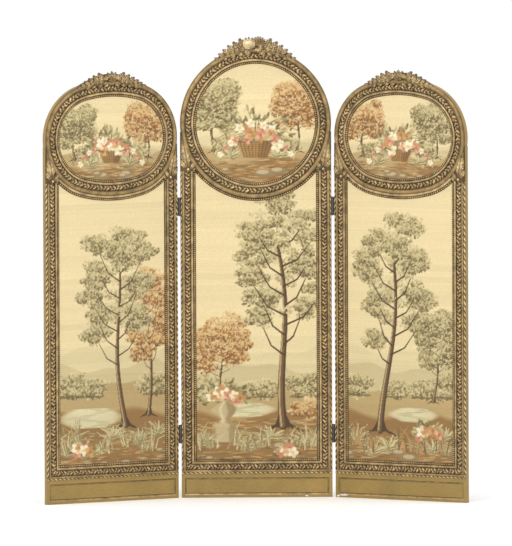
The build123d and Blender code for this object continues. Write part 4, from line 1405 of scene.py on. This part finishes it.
def right_picture(cloth, random):
    """A tall tree on a bank to the left of a pool, and a flowering bank to the right."""
    low = cloth.low
    woven_ground(cloth, random, 0.20, 0.25)
    bushes = ((0.19, 0.255, 0.12), (0.10, 0.255, 0.08), (-0.02, 0.255, 0.07), (-0.20, 0.255, 0.10))
    planting(cloth, random, shrub, bushes)
    tree(cloth, random, 0.150, low + 0.245, 0.36, 0.01, 0.07, SAGE, 0.0055)
    pool(cloth, 0.06, low + 0.165, 0.115, 0.05)
    earth(cloth, random, 0.10)
    tree(cloth, random, -0.095, low + 0.125, 0.92, 0.04, 0.14, AUTUMN[:1] + SAGE[1:], 0.0145)
    broad = ((-0.20, 0.08, 0.09), (-0.05, 0.05, 0.08), (0.15, 0.045, 0.09), (0.21, 0.10, 0.075))
    planting(cloth, random, broad_plant, (*broad, (-0.12, 0.03, 0.08)))
    reeds = (AUTUMN[0], SAGE[1], SAGE[2], SAGE[4])
    tufts(cloth, random, (-0.21, -0.15, 0.02, 0.09, 0.19), 0.04, 0.095, 13, reeds)
    bouquet(cloth, random, 0.13, low + 0.11, 0.065, 7)


def basket_picture(cloth, random, roundel, size, warm_side):
    """A flower basket on a bank, with loose sprays at either hand."""
    middle = roundel.spring
    reach = middle - cloth.low
    woven_ground(cloth, random, 0.42 * reach, 0.34 * reach)
    foot = middle - 0.44 * reach
    for side in (-1, 1):
        tones = (SAGE, AUTUMN)[side == warm_side]
        place = (side * 0.165, foot - 0.005)
        tree(cloth, random, *place, 1.15 * reach, -side * 0.01, 0.062, tones, 0.0055)
        shrub(cloth, random, side * 0.115, foot - 0.002, 0.055, SAGE)
    shrub(cloth, random, 0.0, foot, 0.075, SAGE)
    earth(cloth, random, 0.40 * reach)
    for side in (-1, 1):
        blades(cloth, random, side * 0.13, foot - 0.045, 0.055, 10, SAGE)
        broad_plant(cloth, random, side * 0.09, foot - 0.03, 0.055, SAGE)
    foot -= 0.12 * reach
    for row in np.linspace(0, 1, 16):
        half = size * (0.34 + 0.2 * row)
        tone = ((176, 136, 84), (150, 112, 66))[int(row * 15) % 2]
        cloth.dab(0.0, foot + 0.42 * size * row, half, 0.0042, 0.0, tone)
        cloth.dab(0.55 * half, foot + 0.42 * size * row, 0.4 * half, 0.004, 0.0, (120, 88, 54), 0.5)
    for column in np.linspace(-0.9, 0.9, 9):
        x = column * size * 0.42
        cloth.stroke([(0.8 * x, foot), (x * 1.15, foot + 0.42 * size)], 0.0012, 0.0012, (104, 76, 46), 0.6)
    bouquet(cloth, random, 0.0, foot + 0.36 * size, size, 17)
    for side in (-1, 1):
        shares, hook = np.linspace(0, 1, 6), foot + 0.40 * size
        spray = [(side * (0.04 + 0.10 * s), hook - 0.05 * s + 0.03 * sin(3 * s)) for s in shares]
        cloth.stroke(spray, 0.0022, 0.0012, SAGE[4])
        for k, (x, z) in enumerate(spray[2:]):
            bloom(cloth, x, z, 0.012, (ROSE, CREAM)[k % 2], k)


class SCREEN_OT_tapestries(bpy.types.Operator):
    """Weaves the roundels and the tall panels and lays them flat in their openings"""

    bl_idname = "screen.tapestries"
    bl_label = "Tapestries"

    def execute(self, context):
        sizes = context.scene.screen_sizes
        material = material_of("woven_picture", woven_picture, sizes)
        pictures = {"centre": centre_picture, "left": left_picture, "right": right_picture}
        wide, low = SIGHT_HALF + REBATE, SIGHT_BOTTOM - REBATE
        for number, leaf in enumerate(LEAVES):
            roundel = leaf.roundel
            strainer = f"{leaf.name}_strainers"
            random = np.random.default_rng(sizes.seed + number)
            bite = roundel.lower_lip - REBATE

            def lower_outside(x, z, roundel=roundel, bite=bite):
                edge = np.maximum(np.abs(x) - wide, low - z)
                top = np.where(z < roundel.spring, bite - roundel.distance(x, z), z)
                return np.maximum(edge, top)

            cloth = Cloth(wide, low, roundel.spring - 0.12, sizes.cloth_cell, lower_outside)
            pictures[leaf.name](cloth, random)
            streaks(cloth, random)
            piece = cloth.make(f"{leaf.name}_tall_tapestry", leaf, material, PICTURE_DEPTH, strainer)
            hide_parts(f"{leaf.name}_lower_panel")

            def round_outside(x, z, roundel=roundel):
                return roundel.distance(x, z) - REBATE

            half, up = roundel.half_width + REBATE, roundel.rise + REBATE
            cloth = Cloth(half, roundel.spring - up, roundel.spring + up, sizes.cloth_cell, round_outside)
            basket_picture(cloth, random, roundel, *BASKETS[leaf.name])
            streaks(cloth, random)
            piece = cloth.make(f"{leaf.name}_round_tapestry", leaf, material, PICTURE_DEPTH, strainer)
            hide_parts(f"{leaf.name}_roundel_panel")
        return {"FINISHED"}


class SCREEN_OT_linings(bpy.types.Operator):
    """Lines the backs with plain cloth, bound with braid and tacked down"""

    bl_idname = "screen.linings"
    bl_label = "Linings"

    def execute(self, context):
        sizes, colours = context.scene.screen_sizes, context.scene.screen_colours
        cloth_material = material_of("lining_cloth", lining_cloth, colours, sizes)
        braid_look = (colours, sizes, "lining_braid", 1.5)
        braid_material = material_of("lining_braid", lining_cloth, *braid_look)
        iron = material_of("hinge_iron", hinge_iron, colours)
        grow, half = EDGE_TO_ROUND - LINING_MARGIN, HALF_LEAF - LINING_MARGIN
        for leaf in LEAVES:
            roundel = leaf.roundel

            def outside(x, z, roundel=roundel):
                straight = np.maximum(np.abs(x) - half, LINING_MARGIN - z)
                return np.where(z < roundel.spring, straight, roundel.distance(x, z) - grow)

            top = roundel.spring + roundel.rise + grow
            cloth = Cloth(half, LINING_MARGIN, top, LINING_CELL, outside)
            strainer = f"{leaf.name}_strainers"
            piece = cloth.make(f"{leaf.name}_back_cloth", leaf, cloth_material, LINING_DEPTH, strainer)
            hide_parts(f"{leaf.name}_lining")

            step = 0.012
            edge, way, _, _ = roundel.walk(step)
            arch = edge + way * grow
            upper = arch[arch[:, 1] >= roundel.spring]
            rise = np.arange(LINING_MARGIN, roundel.spring, step)
            right = np.stack((np.full_like(rise, half), rise), -1)
            path = np.concatenate((right, upper, (right * (-1, 1))[::-1]))
            bottom = np.linspace(-half, half, 48)[1:-1]
            path = np.concatenate((path, np.stack((bottom, np.full_like(bottom, LINING_MARGIN)), -1)))
            ahead = np.roll(path, -1, 0) - np.roll(path, 1, 0)
            ahead /= np.hypot(*ahead.T)[:, None]
            inward = np.stack((-ahead[:, 1], ahead[:, 0]), -1)
            across = np.linspace(0.001, 0.012, 6)[None, :]
            x, z = beside(path, inward, across)
            braid = Carving()
            depth = -FACE - 0.0006 - 0.0002 * dome(np.linspace(-0.9, 0.9, 6))
            braid.patch(x, z, depth, 0.8, ground=-FACE - 0.0004, closed=True, back=True)
            strip = braid.make(f"{leaf.name}_braid", leaf, braid_material)
            length = np.append(0, np.cumsum(np.hypot(*np.diff(path, axis=0).T)))
            count = round(length[-1] / sizes.tack_pitch)
            chosen = np.searchsorted(length, np.arange(count) * length[-1] / count)
            x, z = (path + inward * BRAID_MIDDLE)[chosen].T
            tacks = Carving()
            tacks.domes(x, z, -FACE - 0.0007, 0.0032, -0.0009, (0.6, 0.9), 10, 3)
            heads = tacks.make(f"{leaf.name}_tacks", leaf, iron)
            heads.data.flip_normals()
        return {"FINISHED"}


class SCREEN_OT_hinges(bpy.types.Operator):
    """Finishes the hinges in dark iron and puts in their screws"""

    bl_idname = "screen.hinges"
    bl_label = "Hinges and screws"

    def execute(self, context):
        iron = material_of("hinge_iron", hinge_iron, context.scene.screen_colours)
        for hand in ("left", "right"):
            for part in ("fixed_plates", "swing_plates", "hinge_pins"):
                refinish(f"{hand}_{part}", iron)
        offsets = (-SCREW_PITCH, 0.0, SCREW_PITCH)
        heights = [middle + offset for middle in HINGE_HEIGHTS for offset in offsets]
        sets = (("centre", -1), ("centre", 1), ("left", 1), ("right", -1))
        for name, side in sets:
            leaf = next(item for item in LEAVES if item.name == name)
            points, faces = [], []
            for z in heights:
                self.screw(points, faces, leaf, side, z)
            mesh = bpy.data.meshes.new(f"{name}_screws_{'right' if side > 0 else 'left'}")
            mesh.from_pydata(points, [], faces)
            mesh.update()
            add_piece(mesh.name, mesh, iron, leaf.body)
        return {"FINISHED"}

    def screw(self, points, faces, leaf, side, z):
        """A round head with a sawn slot, standing a little proud of its plate."""
        around, low = 16, len(points)
        head, proud = SCREW_HEAD, SCREW_PROUD
        rings = ((head, -0.0004), (head, 0.35 * proud), (0.75 * head, proud), (0.3 * head, proud))
        for radius, out in rings:
            for i in range(around):
                turn = 2 * pi * i / around
                sunk = SCREW_SLOT if abs(sin(turn)) < 0.3 and out > 0.5 * proud else 0.0
                x = side * (HALF_LEAF + PLATE_THICKNESS + out - sunk)
                depth = radius * cos(turn) - 0.001
                points.append(tuple(leaf.place(x, z + radius * sin(turn), depth)[0]))
        for ring in range(len(rings) - 1):
            for i in range(around):
                a, b = low + ring * around + i, low + ring * around + (i + 1) % around
                quad = (a, b, b + around, a + around)
                faces.append(quad if side > 0 else quad[::-1])
        last = [low + (len(rings) - 1) * around + i for i in range(around)]
        faces.append(tuple(last) if side > 0 else tuple(last[::-1]))


def area_light(name, place, aim, size, power, colour=(1, 1, 1)):
    data = bpy.data.lights.new(name, "AREA")
    data.shape, data.size, data.energy, data.color = "DISK", size, power, colour
    light = bpy.data.objects.new(name, data)
    bpy.context.scene.collection.objects.link(light)
    light.location = place
    light.rotation_euler = (Vector(aim) - Vector(place)).to_track_quat("-Z", "Y").to_euler()


class SCREEN_OT_stage(bpy.types.Operator):
    """Lays the pale floor and hangs the soft studio lights"""

    bl_idname = "screen.stage"
    bl_label = "Floor and lights"

    def execute(self, context):
        half = 60.0
        mesh = bpy.data.meshes.new("floor")
        corners = [(-half, -half, 0), (half, -half, 0), (half, half, 0), (-half, half, 0)]
        mesh.from_pydata(corners, [], [(0, 1, 2, 3)])
        material, shader = new_material("pale_floor")
        fill(material, shader, Base_Color=(0.955, 0.96, 0.965, 1), Roughness=0.9)
        mesh.materials.append(material)
        floor = bpy.data.objects.new("floor", mesh)
        context.scene.collection.objects.link(floor)
        world = bpy.data.worlds.new("studio")
        world.use_nodes = True
        background = world.node_tree.nodes["Background"].inputs
        background["Color"].default_value = (1, 1, 1, 1)
        background["Strength"].default_value = 1.05
        context.scene.world = world
        context.scene.view_settings.view_transform = "Standard"
        area_light("key", (-2.6, -5.5, 4.2), (0, 0, 0.9), 1.6, 130, (1.0, 0.985, 0.96))
        area_light("fill", (3.4, -5.0, 2.2), (0, 0, 0.9), 3.2, 25)
        area_light("crown", (0.4, -0.6, 4.6), (0, 0, 1.0), 1.2, 34)
        return {"FINISHED"}


OPERATORS = (
    SCREEN_OT_camera,
    SCREEN_OT_boards,
    SCREEN_OT_mouldings,
    SCREEN_OT_beads,
    SCREEN_OT_ropes,
    SCREEN_OT_spandrels,
    SCREEN_OT_crests,
    SCREEN_OT_tapestries,
    SCREEN_OT_linings,
    SCREEN_OT_hinges,
    SCREEN_OT_stage,
)


class SCREEN_PT_panel(bpy.types.Panel):
    """Lists the screen's pieces and settings in the sidebar"""

    bl_idname = "SCREEN_PT_panel"
    bl_label = "Folding screen"
    bl_space_type = "VIEW_3D"
    bl_region_type = "UI"
    bl_category = "Screen"

    def draw(self, context):
        layout = self.layout
        for settings in (context.scene.screen_sizes, context.scene.screen_colours):
            for name in settings.__annotations__:
                layout.prop(settings, name)
        for operator in OPERATORS:
            layout.operator(operator.bl_idname)


CLASSES = (ScreenSizes, ScreenColours, *OPERATORS, SCREEN_PT_panel)


def register():
    for cls in CLASSES:
        bpy.utils.register_class(cls)
    bpy.types.Scene.screen_sizes = PointerProperty(type=ScreenSizes)
    bpy.types.Scene.screen_colours = PointerProperty(type=ScreenColours)


def unregister():
    del bpy.types.Scene.screen_colours
    del bpy.types.Scene.screen_sizes
    for cls in reversed(CLASSES):
        bpy.utils.unregister_class(cls)


def main():
    """Registers the add-on and makes every piece in order."""
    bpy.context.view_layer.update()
    register()
    for operator in OPERATORS:
        group, name = operator.bl_idname.split(".")
        getattr(getattr(bpy.ops, group), name)()
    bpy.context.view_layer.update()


if __name__ == "__main__":
    main()
